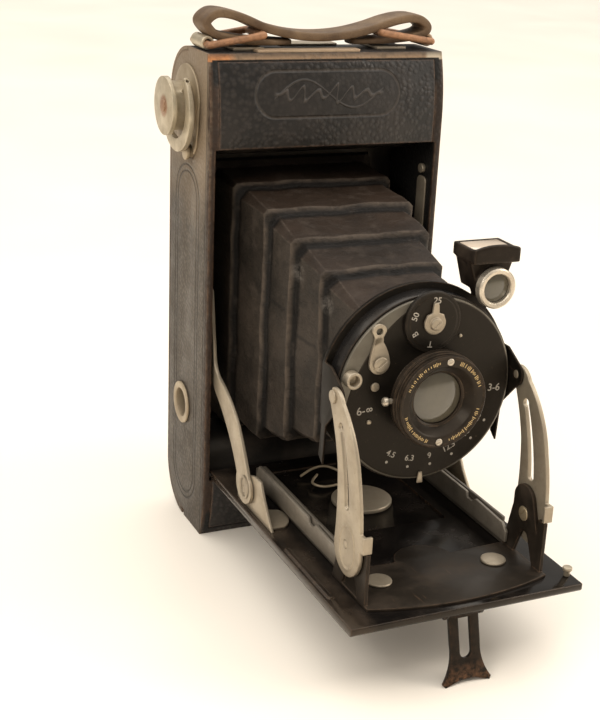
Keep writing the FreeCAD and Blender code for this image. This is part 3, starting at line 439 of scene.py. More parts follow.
def lens_glass(name, tint, roughness=0.04, through=0.8):
    """Old glass with a faint haze."""
    look = Look(name, Transmission_Weight=through, IOR=1.5, Coat_Weight=0.6)
    haze = look.noise(2.5, 5.0, 0.6)
    look.colour = look.mix(haze.span(0.4, 0.7, 0.0, 0.25), tint, tuple(0.6 * c for c in tint))
    return look.finish(haze.span(0.35, 0.75, roughness, roughness + 0.1))


def paint(name, colour, roughness=0.5):
    """Engraved line filled with paint, a little uneven."""
    look = Look(name)
    worn = look.noise(0.5, 4.0, 0.7)
    look.colour = look.mix(worn.span(0.45, 0.7, 0.0, 0.6), colour, tuple(0.45 * c for c in colour))
    return look.finish(roughness)


def studio_floor():
    look = Look("studio_floor", Specular_IOR_Level=0.3)
    cloud = look.noise(160.0, 2.0)
    look.colour = look.mix(cloud, (0.92, 0.84, 0.735), (0.95, 0.885, 0.79))
    return look.finish(cloud.span(0.3, 0.7, 0.32, 0.4))


# ------------------------------------------------------------ mesh building
def new_mesh(name, points, faces, smooth=True):
    """A mesh object from points in millimetres."""
    mesh = bpy.data.meshes.new(name)
    mesh.from_pydata([tuple(c * MM for c in p) for p in points], [], faces)
    mesh.validate()
    made = add_object(name, mesh)
    work = bmesh.new()
    work.from_mesh(mesh)
    bmesh.ops.recalc_face_normals(work, faces=work.faces)
    work.to_mesh(mesh)
    work.free()
    shade(made, smooth)
    return made


def modify(made, kind, **settings):
    """Add one modifier and apply it at once."""
    modifier = made.modifiers.new(kind.lower(), kind)
    for key, value in settings.items():
        setattr(modifier, key, value)
    bpy.context.view_layer.objects.active = made
    with bpy.context.temp_override(object=made, active_object=made, selected_objects=[made]):
        bpy.ops.object.modifier_apply(modifier=modifier.name)


def shade(made, smooth=True):
    for polygon in made.data.polygons:
        polygon.use_smooth = smooth


def crisp(made, degrees):
    """Smooth shading that stays sharp at real edges."""
    shade(made)
    made.data.set_sharp_from_angle(angle=math.radians(degrees))


def dress(made, material):
    made.data.materials.clear()
    made.data.materials.append(material)
    return made


def place_piece(made, body, material, replaced=()):
    """Give a new piece its material and the body it rides on, and hide the CAD parts it replaces."""
    dress(made, material)
    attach(made, body)
    if replaced:
        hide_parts(*replaced)
    return made


def softened(node, material, width, segments=2):
    """The CAD piece with its edges rounded over, standing for that piece."""
    made = add_object(node + "_finished", NODES[node].data.copy())
    work = bmesh.new()
    work.from_mesh(made.data)
    bmesh.ops.remove_doubles(work, verts=work.verts, dist=0.002 * MM)
    bmesh.ops.dissolve_limit(work, angle_limit=math.radians(1.0), verts=work.verts, edges=work.edges)
    work.to_mesh(made.data)
    work.free()
    modify(made, "BEVEL", width=width * MM, segments=segments, limit_method="ANGLE",
           angle_limit=math.radians(40))
    modify(made, "TRIANGULATE")
    crisp(made, 50)
    return place_piece(made, BODY_OF[node], material, (node,))


def soften_all(looks, rows):
    """Rows of look, rounded width in millimetres, segments and the nodes they are for."""
    for look, width, segments, nodes in rows:
        for node in nodes.split():
            softened(node, looks[look], width, segments)


def lathe(name, profile, centre, steps, axis="Y"):
    """Turn a (radius, distance) profile about an axis through a centre, all in millimetres."""
    points = []
    for index in range(steps):
        angle = 2 * math.pi * index / steps
        for radius, along in profile:
            a, b = radius * math.cos(angle), radius * math.sin(angle)
            offset = {"X": (along, a, b), "Y": (a, along, b), "Z": (a, b, along)}[axis]
            points.append(tuple(c + o for c, o in zip(centre, offset)))
    count = len(profile)
    faces = []
    for index in range(steps):
        after = (index + 1) % steps
        for k in range(count - 1):
            faces.append((index * count + k, after * count + k, after * count + k + 1, index * count + k + 1))
    made = new_mesh(name, points, faces)
    work = bmesh.new()
    work.from_mesh(made.data)
    bmesh.ops.remove_doubles(work, verts=work.verts, dist=0.001 * MM)
    bmesh.ops.recalc_face_normals(work, faces=work.faces)
    work.to_mesh(made.data)
    work.free()
    crisp(made, 30)
    return made


def dome(name, centre, radius, height, axis, sign=-1):
    """A low domed head, like a rivet's, rising from its base."""
    profile = [(radius, 0.0), (radius, sign * height * 0.35)]
    for step in range(1, 7):
        angle = math.pi / 2 * step / 6
        profile.append((radius * math.cos(angle), sign * height * (0.35 + 0.65 * math.sin(angle))))
    return lathe(name, [(0.0, 0.0)] + profile, centre, 32, axis)


def joined(name, pieces):
    """One object from several."""
    work = bmesh.new()
    for piece in pieces:
        part = piece.data.copy()
        part.transform(piece.matrix_world)
        work.from_mesh(part)
    mesh = bpy.data.meshes.new(name)
    work.to_mesh(mesh)
    work.free()
    made = add_object(name, mesh)
    for piece in pieces:
        bpy.data.objects.remove(piece)
    return made


def tube(name, path, radius, sides=12):
    """A round wire along a path of points in millimetres."""
    rings = []
    for index, point in enumerate(path):
        run = direction(path, index)
        side = run.cross(Vector((0, 0, 1)) if abs(run.z) < 0.9 else Vector((0, 1, 0))).normalized()
        lift = side.cross(run)
        rings.append([point + side * radius * math.cos(2 * math.pi * k / sides)
                      + lift * radius * math.sin(2 * math.pi * k / sides) for k in range(sides)])
    return skin(name, rings)


def skin(name, rings, caps=True):
    """A surface through rings of points, all with the same count."""
    count = len(rings[0])
    points = [p for ring in rings for p in ring]
    faces = []
    for r in range(len(rings) - 1):
        for k in range(count):
            n = (k + 1) % count
            faces.append((r * count + k, r * count + n, (r + 1) * count + n, (r + 1) * count + k))
    if caps:
        faces.append(tuple(range(count)))
        faces.append(tuple(range((len(rings) - 1) * count, len(rings) * count)))
    return new_mesh(name, points, faces)


def direction(path, index):
    """Which way a path runs at one of its points."""
    return (path[min(index + 1, len(path) - 1)] - path[max(index - 1, 0)]).normalized()


def smooth_path(points, steps):
    """Points along a smooth curve through the given ones."""
    points = [Vector(p) for p in points]
    path = []
    for i in range(len(points) - 1):
        a = points[max(i - 1, 0)]
        b, c = points[i], points[i + 1]
        d = points[min(i + 2, len(points) - 1)]
        for s in range(steps):
            t = s / steps
            path.append(0.5 * ((2 * b) + (c - a) * t + (2 * a - 5 * b + 4 * c - d) * t * t
                               + (3 * b - a - 3 * c + d) * t ** 3))
    path.append(points[-1])
    return path


def cuboid(name, low, high):
    """A plain block between two corners, for cutting with."""
    points = [(x, y, z) for x in (low[0], high[0]) for y in (low[1], high[1]) for z in (low[2], high[2])]
    faces = [(0, 1, 3, 2), (4, 6, 7, 5), (0, 4, 5, 1), (2, 3, 7, 6), (0, 2, 6, 4), (1, 5, 7, 3)]
    return new_mesh(name, points, faces, smooth=False)


def slotted_screw(name, centre, radius, height, axis, sign, turn):
    """A low domed screw head with a cut slot."""
    head = dome(name, centre, radius, height, axis, sign)
    groove = cuboid("groove", (-radius * 1.2, -radius * 0.13, 0), (radius * 1.2, radius * 0.13, height))
    facing = {"X": Vector((1, 0, 0)), "Y": Vector((0, 1, 0)), "Z": Vector((0, 0, 1))}[axis] * sign
    spin = facing.to_track_quat("Z", "Y").to_matrix() @ Matrix.Rotation(math.radians(turn), 3, "Z")
    place = Matrix.Translation((Vector(centre) + facing * height * 0.55) * MM)
    groove.data.transform(place @ spin.to_4x4())
    modify(head, "BOOLEAN", object=groove, operation="DIFFERENCE", solver="EXACT")
    bpy.data.objects.remove(groove)
    crisp(head, 35)
    return head


def milled(made, centre, ridges, depth, radius, low, high):
    """Fine ridges pressed into a turned rim, beyond a radius and between two distances along Y."""
    for vertex in made.data.vertices:
        flat = Vector((vertex.co.x - centre.x * MM, vertex.co.z - centre.z * MM))
        if low < vertex.co.y / MM < high and flat.length > radius * MM:
            pinch = 1 - depth * (0.5 + 0.5 * math.cos(math.atan2(flat.y, flat.x) * ridges))
            vertex.co.x, vertex.co.z = centre.x * MM + flat.x * pinch, centre.z * MM + flat.y * pinch
    made.data.update()


def around(centre, radius, degrees):
    """The x and z of a point on a circle that faces -Y."""
    angle = math.radians(degrees)
    return centre.x + radius * math.cos(angle), centre.z + radius * math.sin(angle)


def mark(name, text, size, place, y, turn, material):
    """Small painted figures on the shutter, which looks toward -Y; place is their x and z."""
    curve = bpy.data.curves.new(name, "FONT")
    curve.body = text
    curve.size = size * MM
    curve.align_x, curve.align_y = "CENTER", "CENTER"
    curve.extrude = 0.03 * MM
    curve.offset = 0.02 * MM
    letter = add_object(name + "_curve", curve)
    bpy.context.view_layer.update()
    mesh = bpy.data.meshes.new_from_object(letter.evaluated_get(bpy.context.evaluated_depsgraph_get()))
    bpy.data.objects.remove(letter)
    spin = Matrix.Rotation(math.radians(turn), 4, "Y") @ Matrix.Rotation(math.radians(90), 4, "X")
    mesh.transform(Matrix.Translation(Vector((place[0], y, place[1])) * MM) @ spin)
    made = add_object(name, mesh)
    dress(made, material)
    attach(made, "standard")


# ------------------------------------------------------------ finishes
def shell_leather():
    """Case leather: dust-grey sides with a pressed outline, paler and tan towards the top on the left, brown
    rims, tan top edge, black inside.
    """
    look = Look("shell_leather", Specular_IOR_Level=0.22)
    x, y, z = (look.axis(letter) for letter in "XYZ")
    out = abs(x)
    pebbles = look.cells(1.2)
    fine = look.noise(0.5, 4.0, 0.7)
    broad = look.noise(22.0, 6.0, 0.6)
    half = CASE_HIGH.x * MM
    front = CASE_LOW.y * MM
    top_z = CASE_HIGH.z * MM
    side = out.span(half - 0.9 * MM, half - 0.3 * MM)
    look.colour = look.mix(pebbles.span(0.2, 0.6), (0.046, 0.039, 0.034), (0.022, 0.019, 0.017))
    grey = look.mix(broad.span(0.35, 0.68), (0.072, 0.059, 0.046), (0.125, 0.103, 0.080))
    grey = look.mix(pebbles.span(0.3, 0.62, 0.0, 0.55), grey, (0.045, 0.037, 0.030))
    # the left side turns paler and tan towards its top
    rise = z + broad * 0.04
    paler_upper_left = rise.span(0.118, 0.150) * x.span(0.0, -0.01)
    grey = look.mix(paler_upper_left * 0.8, grey, (0.26, 0.195, 0.13))
    look.over(side * 0.92, grey)
    # a long rounded outline pressed into each side
    middle_y, middle_z, straight, inner, outer = 1.0 * MM, 64.0 * MM, 46.0 * MM, 8.5 * MM, 10.5 * MM
    along = abs(z - middle_z) - straight
    across = y - middle_y
    reach = look.reach(look.maths("MAXIMUM", along, 0.0), across)
    line = abs(reach - inner)
    seam = abs(y - (front + 3.0 * MM))
    press = look.maths("MINIMUM", look.maths("MINIMUM", line, seam), abs(reach - outer))
    groove = press.line(0.1, 0.55) * side
    look.over(groove * 0.55, (0.028, 0.023, 0.019))
    # worn brown along the mouth's edges
    lip = y.span(front + 3.0 * MM, front + 1.8 * MM)
    lip = lip * out.span(half - 3.2 * MM, half - 2.2 * MM)
    ragged = look.noise(3.0, 6.0, 0.7).span(0.3, 0.55, 0.35, 1.0)
    brown = look.mix(x.span(-0.01, 0.01), (0.036, 0.022, 0.015), (0.022, 0.014, 0.010))
    look.over(lip * ragged, brown)
    rim, soft = look.edges(1.2)
    scuff = rim * look.noise(3.6, 6.0).span(0.36, 0.6)
    look.over(scuff * 0.75, (0.21, 0.125, 0.075))
    # bare tan strip along the top front edge, with an orange patch at its left end
    top = z.span(top_z - 2.4 * MM, top_z - 2.1 * MM) * y.span(front + 3.6 * MM, front + 3.0 * MM)
    tan = look.mix(x.span(-30 * MM, -33 * MM), (0.25, 0.165, 0.10), (0.46, 0.20, 0.08))
    tan = look.mix(x.span(33 * MM, 34 * MM), tan, (0.46, 0.38, 0.28))
    look.over(top * look.noise(2.2, 5.0).span(0.3, 0.5, 0.5, 1.0), tan)
    # plain black paint inside
    inside = out.span(half - 1.1 * MM, half - 1.3 * MM) * y.span(front + 0.9 * MM, front + 1.3 * MM)
    inside = inside * z.span(top_z - 1.6 * MM, top_z - 1.9 * MM)
    inside = inside * z.span(1.6 * MM, 1.9 * MM)
    look.over(inside, (0.012, 0.011, 0.010))
    height = pebbles.span(0.1, 0.65, 0.8, 0.0) + fine * 0.3
    height = height - groove * 3.0
    rough = look.noise(6.0).span(0.3, 0.7, 0.42, 0.62)
    return look.finish(rough, height, 0.14, soft)


def panel_leather():
    """Pebbled black front leather with a pressed oval and a flourish inside it."""
    look = Look("panel_leather", Specular_IOR_Level=0.3)
    x, z = look.axis("X"), look.axis("Z")
    pebbles = look.cells(1.5)
    fine = look.noise(0.5, 4.0, 0.7)
    broad = look.noise(18.0, 6.0, 0.6)
    middle_x, middle_z, end, straight = -0.6 * MM, 144.2 * MM, 6.8 * MM, 17.2 * MM
    across = x - middle_x
    up = z - middle_z
    run = look.maths("MAXIMUM", abs(across) - straight, 0.0)
    reach = look.reach(run, up)
    ring = abs(reach - end).line(0.15, 0.6)
    inside = reach.span(end - 0.2 * MM, end - 0.9 * MM)
    # flourish: one running wave crossed by a long sweep, all in radians per metre
    wave_pace, swell_pace, sweep_pace = 1150.0, 420.0, 190.0
    slant = across - up * 0.5
    wave = look.maths("SINE", slant * wave_pace) * (1.9 * MM)
    swell = look.maths("SINE", across * swell_pace) * 0.45
    wave = wave * (swell + 1.0)
    sweep = look.maths("SINE", across * sweep_pace) * (-4.2 * MM)
    taper = abs(across).line(11, 17.5)
    first = abs(up - wave * taper)
    second = abs(up - sweep)
    stroke = look.maths("MAXIMUM", first.line(0.2, 0.75), second.line(0.1, 0.45) * 0.7)
    stroke = stroke * run.line(0.0, 1.2)
    look.colour = look.mix(pebbles.span(0.25, 0.6), (0.024, 0.020, 0.0175), (0.011, 0.0095, 0.0085))
    look.over(broad.span(0.45, 0.72, 0.0, 0.6), (0.044, 0.034, 0.028))
    look.over(inside * 0.35, (0.020, 0.017, 0.015))
    look.over(stroke * 0.24, (0.15, 0.125, 0.105))
    look.over(ring * 0.22, (0.13, 0.105, 0.085))
    rim, soft = look.edges(1.0)
    scuff = rim * look.noise(3.0, 6.0).span(0.32, 0.55)
    look.over(scuff * 0.8, (0.24, 0.14, 0.085))
    grain = pebbles.span(0.1, 0.65, 1.0, 0.0) * inside.span(0.0, 1.0, 1.0, 0.35)
    height = grain + fine * 0.3
    height = height - ring * 2.2
    height = height + stroke * 2.0
    rough = look.noise(6.0).span(0.3, 0.7, 0.36, 0.55)
    return look.finish(rough, height, 0.16, soft)


def rust_centred_nickel():
    """Cream nickel of the winding disc, rusted round its middle screw."""
    look = Look("key_nickel", metallic=0.55)
    middle = centre_mm("key_disc") * MM
    y, z = look.axis("Y"), look.axis("Z")
    reach = look.reach(y - middle.y, z - middle.z)
    cloud = look.noise(5.0, 6.0, 0.6)
    specks = look.noise(0.8, 3.0, 0.6)
    look.colour = look.mix(cloud.span(0.36, 0.66), (0.50, 0.43, 0.31), (0.36, 0.30, 0.21))
    look.over(specks.span(0.62, 0.74, 0.0, 0.5), (0.30, 0.22, 0.14))
    rust = (reach + specks * (1.2 * MM)).line(3.3, 4.4)
    look.over(rust * 0.85, (0.26, 0.125, 0.06))
    rim, soft = look.edges(0.4)
    look.over(rim * 0.3, (0.74, 0.66, 0.50))
    return look.finish(cloud.span(0.3, 0.7, 0.34, 0.5), specks * 0.6, 0.03, soft)


# ------------------------------------------------------------ case and back
def dress_case(looks):
    soften_all(looks, (
        ("shell", 0.5, 2, "front_shell back_cover"),
        ("panel", 0.35, 2, "upper_front_panel lower_front_panel"),
        ("inner", 0.2, 2, "inner_frame"),
        ("brass", 0.18, 2, "key_plate"),
        ("brass", 0.3, 2, "side_tripod_bush"),
        ("trim", 0.2, 2, "top_latch_plate"),
        ("nickel", 0.2, 2, "strap_lugs back_latch"),
        ("brass", 0.3, 3, "bed_button"),
        ("key", 0.35, 3, "key_disc"),
        ("key", 0.3, 3, "key_wing"),
        ("ruby", 0.15, 2, "red_window"),
        ("inner", 0.3, 2, "pressure_plate"),
        ("nickel", 0.1, 2, "pressure_springs spool_pins brace_tracks key_shaft"),
        ("dark", 0.1, 2, "bed_hinge_pin back_hinge_pin leg_pin"),
        ("dark", 0.15, 2, "take_up_spool supply_spool"),
        ("nickel", 0.15, 2, "film_roller_top film_roller_low"),
    ))
    dress_cad("strap_loops", looks["rust"])


def dress_cad(node, material):
    """A CAD piece whose shape is right keeps its mesh and only gets a finish."""
    shade(dress(NODES[node], material))


def make_strap(looks):
    """Worn strap, looped round both wire loops and dipping between them."""
    low, high = box_mm("strap")
    top = high.z
    inner = low.z - 2.3
    half_x = high.x
    line = [(-9, inner - 0.1), (-15, inner), (-22, inner + 0.3), (-29, inner + 1.2), (-34.0, inner + 2.4),
            (-half_x + 1.7, inner + 4.7), (-half_x + 1.5, top - 3.4), (-half_x + 4.2, top - 1.5),
            (-30.5, top - 1.5), (-25, top - 2.9), (-18, top - 5.6), (-9, top - 7.6), (0, top - 8.2),
            (9, top - 7.6), (17, top - 6.0), (24, top - 3.9), (29.5, top - 2.8), (33.8, top - 3.0),
            (half_x - 1.6, top - 5.2), (half_x - 2.6, inner + 2.6), (31, inner + 1.3), (22, inner + 0.3),
            (11, inner - 0.1)]
    path = smooth_path([(x, 0, z) for x, z in line], 8)
    middle = (low.y + high.y) / 2
    rings = []
    for index, point in enumerate(path):
        run = direction(path, index)
        normal = Vector((-run.z, 0, run.x))
        share = index / (len(path) - 1)
        half = 5.4
        for pinched in (0.14, 0.86):
            half -= 0.7 * math.exp(-((share - pinched) / 0.10) ** 2)
        half *= min(1.0, 0.55 + 9 * min(share, 1 - share))
        thick = 1.3 - 0.45 * math.exp(-(min(share, 1 - share) / 0.09) ** 2)
        shape = [(-half, -thick + 0.35), (-half + 0.35, -thick), (-half / 2, -thick), (0, -thick - 0.06),
                 (half / 2, -thick), (half - 0.35, -thick), (half, -thick + 0.35), (half, thick - 0.35),
                 (half - 0.35, thick), (half / 2, thick + 0.06), (0, thick + 0.1), (-half / 2, thick + 0.06),
                 (-half + 0.35, thick), (-half, thick - 0.35)]
        wander = 0.25 * math.sin(share * 21)
        rings.append([point + Vector((0, middle + a + wander, 0)) + normal * b for a, b in shape])
    strap = skin("strap_worn", rings)
    modify(strap, "SUBSURF", levels=1, render_levels=1)
    place_piece(strap, "case", looks["strap"], ("strap",))
    # rolled sheet sleeve round the outer bar of each wire loop
    loops_low, loops_high = box_mm("strap_loops")
    profile = [(1.15, -4.6), (1.7, -4.75), (2.0, -4.5), (2.05, -1.0), (2.0, 1.5), (2.05, 4.5), (1.7, 4.75),
               (1.15, 4.6)]
    for word, x, z, look in (("left", loops_low.x + 1.3, loops_low.z + 1.5, "key"),
                             ("right", loops_high.x - 1.3, loops_low.z + 2.0, "trim")):
        sleeve = lathe("loop_sleeve_" + word, profile, (x, middle, z), 40)
        place_piece(sleeve, "case", looks[look])


# ------------------------------------------------------------ bellows
def make_bellows(looks):
    """Folded leather bellows: wide panels that end in sharp ridges, with boxed-in corners."""
    # each station: distance along the lens axis, half width, half height, cut of the corners
    stations = []
    ridge_cut, crease_cut, crease_share = 1.3, 2.6, 0.08
    for (y, wide, tall), (next_y, next_wide, next_tall) in zip(BELLOWS_RIDGES, BELLOWS_RIDGES[1:]):
        stations.append((y, wide, tall, ridge_cut))
        gap = y - next_y
        fold = min(1.7, 0.12 * gap)
        for share in (crease_share, 0.35, 0.6, 0.85):
            sink = fold * (1 - (share - crease_share) / (1 - crease_share)) ** 1.15
            cut = crease_cut if share == crease_share else crease_cut - ridge_cut * share
            stations.append((y - gap * share, wide + (next_wide - wide) * share - sink,
                             tall + (next_tall - tall) * share - sink, cut))
    stations.append((*BELLOWS_RIDGES[-1], ridge_cut))
    noise_seed = Vector((3.1, 7.7, 1.3))
    rings = []
    for y, wide, tall, corner in stations:
        ring = []
        flat, upright = wide - corner, tall - corner
        outline = [(-flat, tall), (flat, tall), (wide, upright), (wide, -upright),
                   (flat, -tall), (-flat, -tall), (-wide, -upright), (-wide, upright)]
        for k in range(8):
            a, b = Vector(outline[k]), Vector(outline[(k + 1) % 8])
            steps = 5 if k % 2 else 22
            for s in range(steps):
                p = a.lerp(b, s / steps)
                ring.append((p.x, p.y, y))
        rings.append(ring)
    dense = []
    for first, second in zip(rings, rings[1:]):
        pieces = max(2, int(abs(first[0][2] - second[0][2]) / 1.1))
        for s in range(pieces):
            t = s / pieces
            dense.append([tuple(a + (b - a) * t for a, b in zip(p, q)) for p, q in zip(first, second)])
    dense.append(rings[-1])
    final = []
    for ring in dense:
        made = []
        for x, z, y in ring:
            spot = Vector((x, y, z)) * 0.085 + noise_seed
            push = 0.7 * noise.noise(spot) + 0.25 * noise.noise(spot * 3.1)
            edge = min(1.0, (BELLOWS_HIGH.y - y) / 6.0, (y - BELLOWS_LOW.y) / 4.0)
            push *= max(0.0, edge)
            out = Vector((x, 0, z)).normalized()
            made.append((x + out.x * push, y, BELLOWS_Z + z + out.z * push))
        final.append(made)
    bellows = skin("bellows_folds", final, caps=False)
    crisp(bellows, 32)
    place_piece(bellows, "case", looks["bellows"], ("bellows",))
    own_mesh(bellows)


# ------------------------------------------------------------ bed, braces and struts
def outer_x(node, side):
    """The x of a node's outer face, on the left side (-1) or the right (1)."""
    low, high = box_mm(node)
    return low.x if side < 0 else high.x


def oval_boss(name, node, side, pivot, wide, tall, material):
    """A raised oval outline pressed into a strut or brace round its pivot, on its outer face."""
    face = outer_x(node, side)
    profile = [(1.12, 0.0), (1.06, 0.16), (1.0, 0.22), (0.94, 0.16), (0.88, 0.0)]
    ring = lathe(name, [(r, side * d) for r, d in profile], (0, 0, 0), 64, "X")
    for vertex in ring.data.vertices:
        x, a, b = vertex.co / MM
        vertex.co = Vector((face + x, pivot[0] + a * wide, pivot[1] + b * tall)) * MM
    ring.data.update()
    place_piece(ring, BODY_OF[node], material)


def dress_bed(looks):
    soften_all(looks, (
        ("bed", 0.3, 2, "bed_plate"),
        ("nickel", 0.35, 3, "bed_tripod_bush"),
        ("rail", 0.25, 2, "bed_rails"),
        ("base", 0.2, 2, "strut_base"),
        ("nickel", 0.5, 3, "bed_rivets"),
        ("nickel", 0.15, 2, "bed_pivots"),
        ("nickel", 0.2, 2, "brace_brackets"),
        ("leg", 0.3, 3, "support_leg"),
    ))
    nickel = looks["nickel"]
    for side, word in ((-1, "left"), (1, "right")):
        brace, strut = "brace_" + word, "strut_" + word
        softened(brace, nickel, 0.28, 3)
        softened(strut, nickel, 0.28, 3)
        softened("link_" + word, looks["link"], 0.2)
        oval_boss("strut_boss_" + word, strut, side, STRUT_FOOT, 4.4, 6.4, nickel)
        oval_boss("brace_boss_" + word, brace, side, BRACE_FOOT, 2.9, 3.3, nickel)
        head = (outer_x(strut, side), *STRUT_HEAD)
        screw = slotted_screw("strut_screw_" + word, head, 1.9, 0.5, "X", side, 30)
        place_piece(screw, "standard", nickel)
        ear = (side * STRUT_EAR_X, *STRUT_EAR_SCREW)
        pin = slotted_screw("ear_screw_" + word, ear, 2.2, 0.45, "X", -side, 50)
        place_piece(pin, "bed", looks["brass_bright"])
    wire = smooth_path([(-11, -31.5, 24.3), (-6.5, -31.0, 26.2), (-2.0, -31.0, 26.4), (1.8, -33.5, 25.2),
                        (2.4, -38.0, 24.4), (-1.0, -40.6, 24.3), (-7.0, -41.0, 24.3), (-9.4, -37.5, 24.5),
                        (-6.2, -34.0, 25.4)], 6)
    spring = tube("bed_spring", wire, 0.42)
    place_piece(spring, "bed", looks["brass"])


# ------------------------------------------------------------ lens standard
def dress_standard(looks):
    """Lens board and shutter, with its black face, speed dial, levers and white figures."""
    soften_all(looks, (
        ("lacquer", 0.2, 2, "lens_board"),
        ("nickel", 0.15, 2, "strut_head_screws"),
        ("lacquer_rim", 0.35, 3, "shutter_case"),
        ("bronze", 0.25, 2, "shutter_front_plate"),
        ("dark", 0.05, 2, "shutter_blades"),
        ("nickel", 0.3, 3, "cable_socket"),
        ("nickel", 0.25, 3, "face_screws"),
        ("nickel", 0.08, 2, "release_lever"),
        ("nickel", 0.2, 3, "speed_pointer"),
        ("nickel", 0.15, 2, "aperture_lever"),
        ("glass", 0.1, 2, "rear_lens"),
    ))
    nickel = looks["nickel"]
    middle = Vector((0.0, FACE_Y, LENS.z))
    radius = 26.7
    profile = [(10.4, 0.0), (radius - 0.35, 0.0), (radius, 0.3), (radius, 0.5)]
    face = lathe("shutter_face", profile, middle, 240)
    # the face is cut back at the upper left, where a crescent of the metal plate shows
    start, sweep, depth = 98, 98, 0.155
    for vertex in face.data.vertices:
        flat = Vector((vertex.co.x / MM, vertex.co.z / MM - middle.z))
        turn = math.degrees(math.atan2(flat.y, flat.x)) % 360
        if flat.length > 20 and start < turn < start + sweep:
            flat *= 1 - depth * math.sin(math.pi * (turn - start) / sweep) ** 0.8
            vertex.co.x, vertex.co.z = flat.x * MM, (middle.z + flat.y) * MM
    place_piece(face, "standard", looks["face"])
    dial_low, dial_high = box_mm("speed_dial")
    dial = centre_mm("speed_dial")
    rim = (dial_high.x - dial_low.x) / 2
    thick = dial_high.y - dial_low.y
    disc = lathe("speed_dial_knurled", [(0.001, 0.0), (rim - 1.5, 0.0), (rim - 1.3, 0.12), (rim - 0.35, 0.12),
                                        (rim, 0.45), (rim, thick)], (dial.x, dial_low.y, dial.z), 240)
    milled(disc, dial, 80, 0.016, rim - 0.5, dial_low.y - 1, dial_high.y + 1)
    place_piece(disc, "standard", looks["face"], ("speed_dial",))
    paint_lift = 0.01
    for text, turn in (("25", -6), ("50", 70), ("B", 118), ("T", 174)):
        mark("dial_" + text, text, 2.5, around(dial, 6.2, 90 + turn), dial_low.y - paint_lift, -turn,
             looks["white"])
    marks_y = FACE_Y - paint_lift
    for name, text, height, x, up, turn in (("range_left", "6-", 3.3, -20.0, -4.0, -6),
                                            ("range_far", "8", 2.7, -17.5, -3.8, 84),
                                            ("range_right", "3-6", 3.1, 22.3, -1.8, 4)):
        mark(name, text, height, (x, LENS.z + up), marks_y, turn, looks["white"])
    stops = (("4.5", -28), ("6.3", -10), ("9", 8), ("12.5", 26), ("18", 44), ("25", 60))
    for text, turn in stops:
        mark("stop_" + text.replace(".", "_"), text, 2.5, around(middle, 20.6, -90 + turn), marks_y, -turn,
             looks["white"])
    profile = [(0.001, -0.02), (0.42, -0.02), (0.42, 0.1)]
    for _, turn in stops:
        x, z = around(middle, 23.2, -90 + turn)
        dot = lathe("stop_dot_%d" % (turn + 40), profile, (x, FACE_Y, z), 16)
        dress(dot, looks["white"])
        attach(dot, "standard")
    pointer_y, lever_y = box_mm("speed_pointer")[0].y, box_mm("release_lever")[0].y
    screw = slotted_screw("pointer_screw", (dial.x, pointer_y, dial.z), 1.7, 0.35, "Y", -1, 40)
    place_piece(screw, "speed_pointer", nickel)
    release_x, release_up = -15.6, 9.8
    screw = slotted_screw("release_screw", (release_x, lever_y, LENS.z + release_up), 2.2, 0.5, "Y", -1, 35)
    place_piece(screw, "release_lever", nickel)


def dress_lens(looks):
    """Focusing ring: stepped and milled rim, flat front with fine divisions, dark cone to the glass."""
    low, high = box_mm("focus_ring")
    z, front, radius, deep = LENS.z, low.y, high.x, high.y - low.y
    profile = [(7.45, 4.6), (7.5, 3.4), (7.9, 3.1), (8.1, 3.1), (8.5, 2.4), (9.9, 0.75), (10.15, 0.45),
               (10.5, 0.22), (10.8, 0.18), (12.55, 0.18), (12.75, 0.0), (13.15, 0.0), (13.35, 0.2),
               (13.35, 1.0), (13.0, 1.2), (13.0, 1.75), (radius, 1.95), (radius, 2.9), (13.15, 3.1),
               (13.15, 3.7), (radius, 3.9), (radius, 5.6), (13.2, 5.8), (12.2, 6.2), (12.2, deep),
               (10.5, deep)]
    ring = lathe("focus_ring_turned", profile, (0, front, z), 300)
    middle = Vector((0, front, z))
    milled(ring, middle, 100, 0.018, 13.3, front + 3.8, front + 5.7)
    place_piece(ring, "focus_ring", looks["ring"], ("focus_ring",))
    profile = [(0.001, 0.0), (0.7, 0.1), (1.15, 0.45), (1.3, 0.9), (1.2, 1.6), (0.8, 2.0), (0.75, 4.2)]
    tab = lathe("focus_tab", profile, (low.x, front + 5.0, z + 0.3), 28, "X")
    place_piece(tab, "focus_ring", looks["bright"])
    scale_radius = 11.7
    for name, turn in (("stud_top", 84), ("stud_low", 268)):
        x, up = around(middle, scale_radius, turn)
        stud = slotted_screw(name, (x, front + 0.2, up), 1.05, 0.45, "Y", -1, 20)
        place_piece(stud, "focus_ring", looks["bright"])
    ticks = []
    chance = random.Random(11)
    for start, end in ((18, 68), (100, 160), (196, 252), (284, 344)):
        turn = start
        while turn < end:
            length = chance.choice((0.6, 0.9, 1.2))
            tick = cuboid("tick", (-0.11, front + 0.14, scale_radius - length / 2),
                          (0.11, front + 0.3, scale_radius + length / 2))
            spin = Matrix.Rotation(math.radians(90) - math.radians(turn), 4, "Y")
            tick.data.transform(Matrix.Translation((0, 0, z * MM)) @ spin)
            ticks.append(tick)
            turn += chance.choice((2.4, 2.4, 4.2))
    scale = joined("focus_divisions", ticks)
    dress(scale, looks["gold"])
    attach(scale, "focus_ring")
    glass_low, glass_high = box_mm("front_lens")
    wide = (glass_high.x - glass_low.x) / 2
    curve = [(0.001, 0.0), (1.5, 0.04), (3.0, 0.17), (4.5, 0.4), (6.0, 0.75), (wide, 1.2),
             (wide, glass_high.y - glass_low.y)]
    glass = lathe("front_lens_polished", curve, (0, glass_low.y, z), 96)
    place_piece(glass, "focus_ring", looks["front_glass"], ("front_lens",))


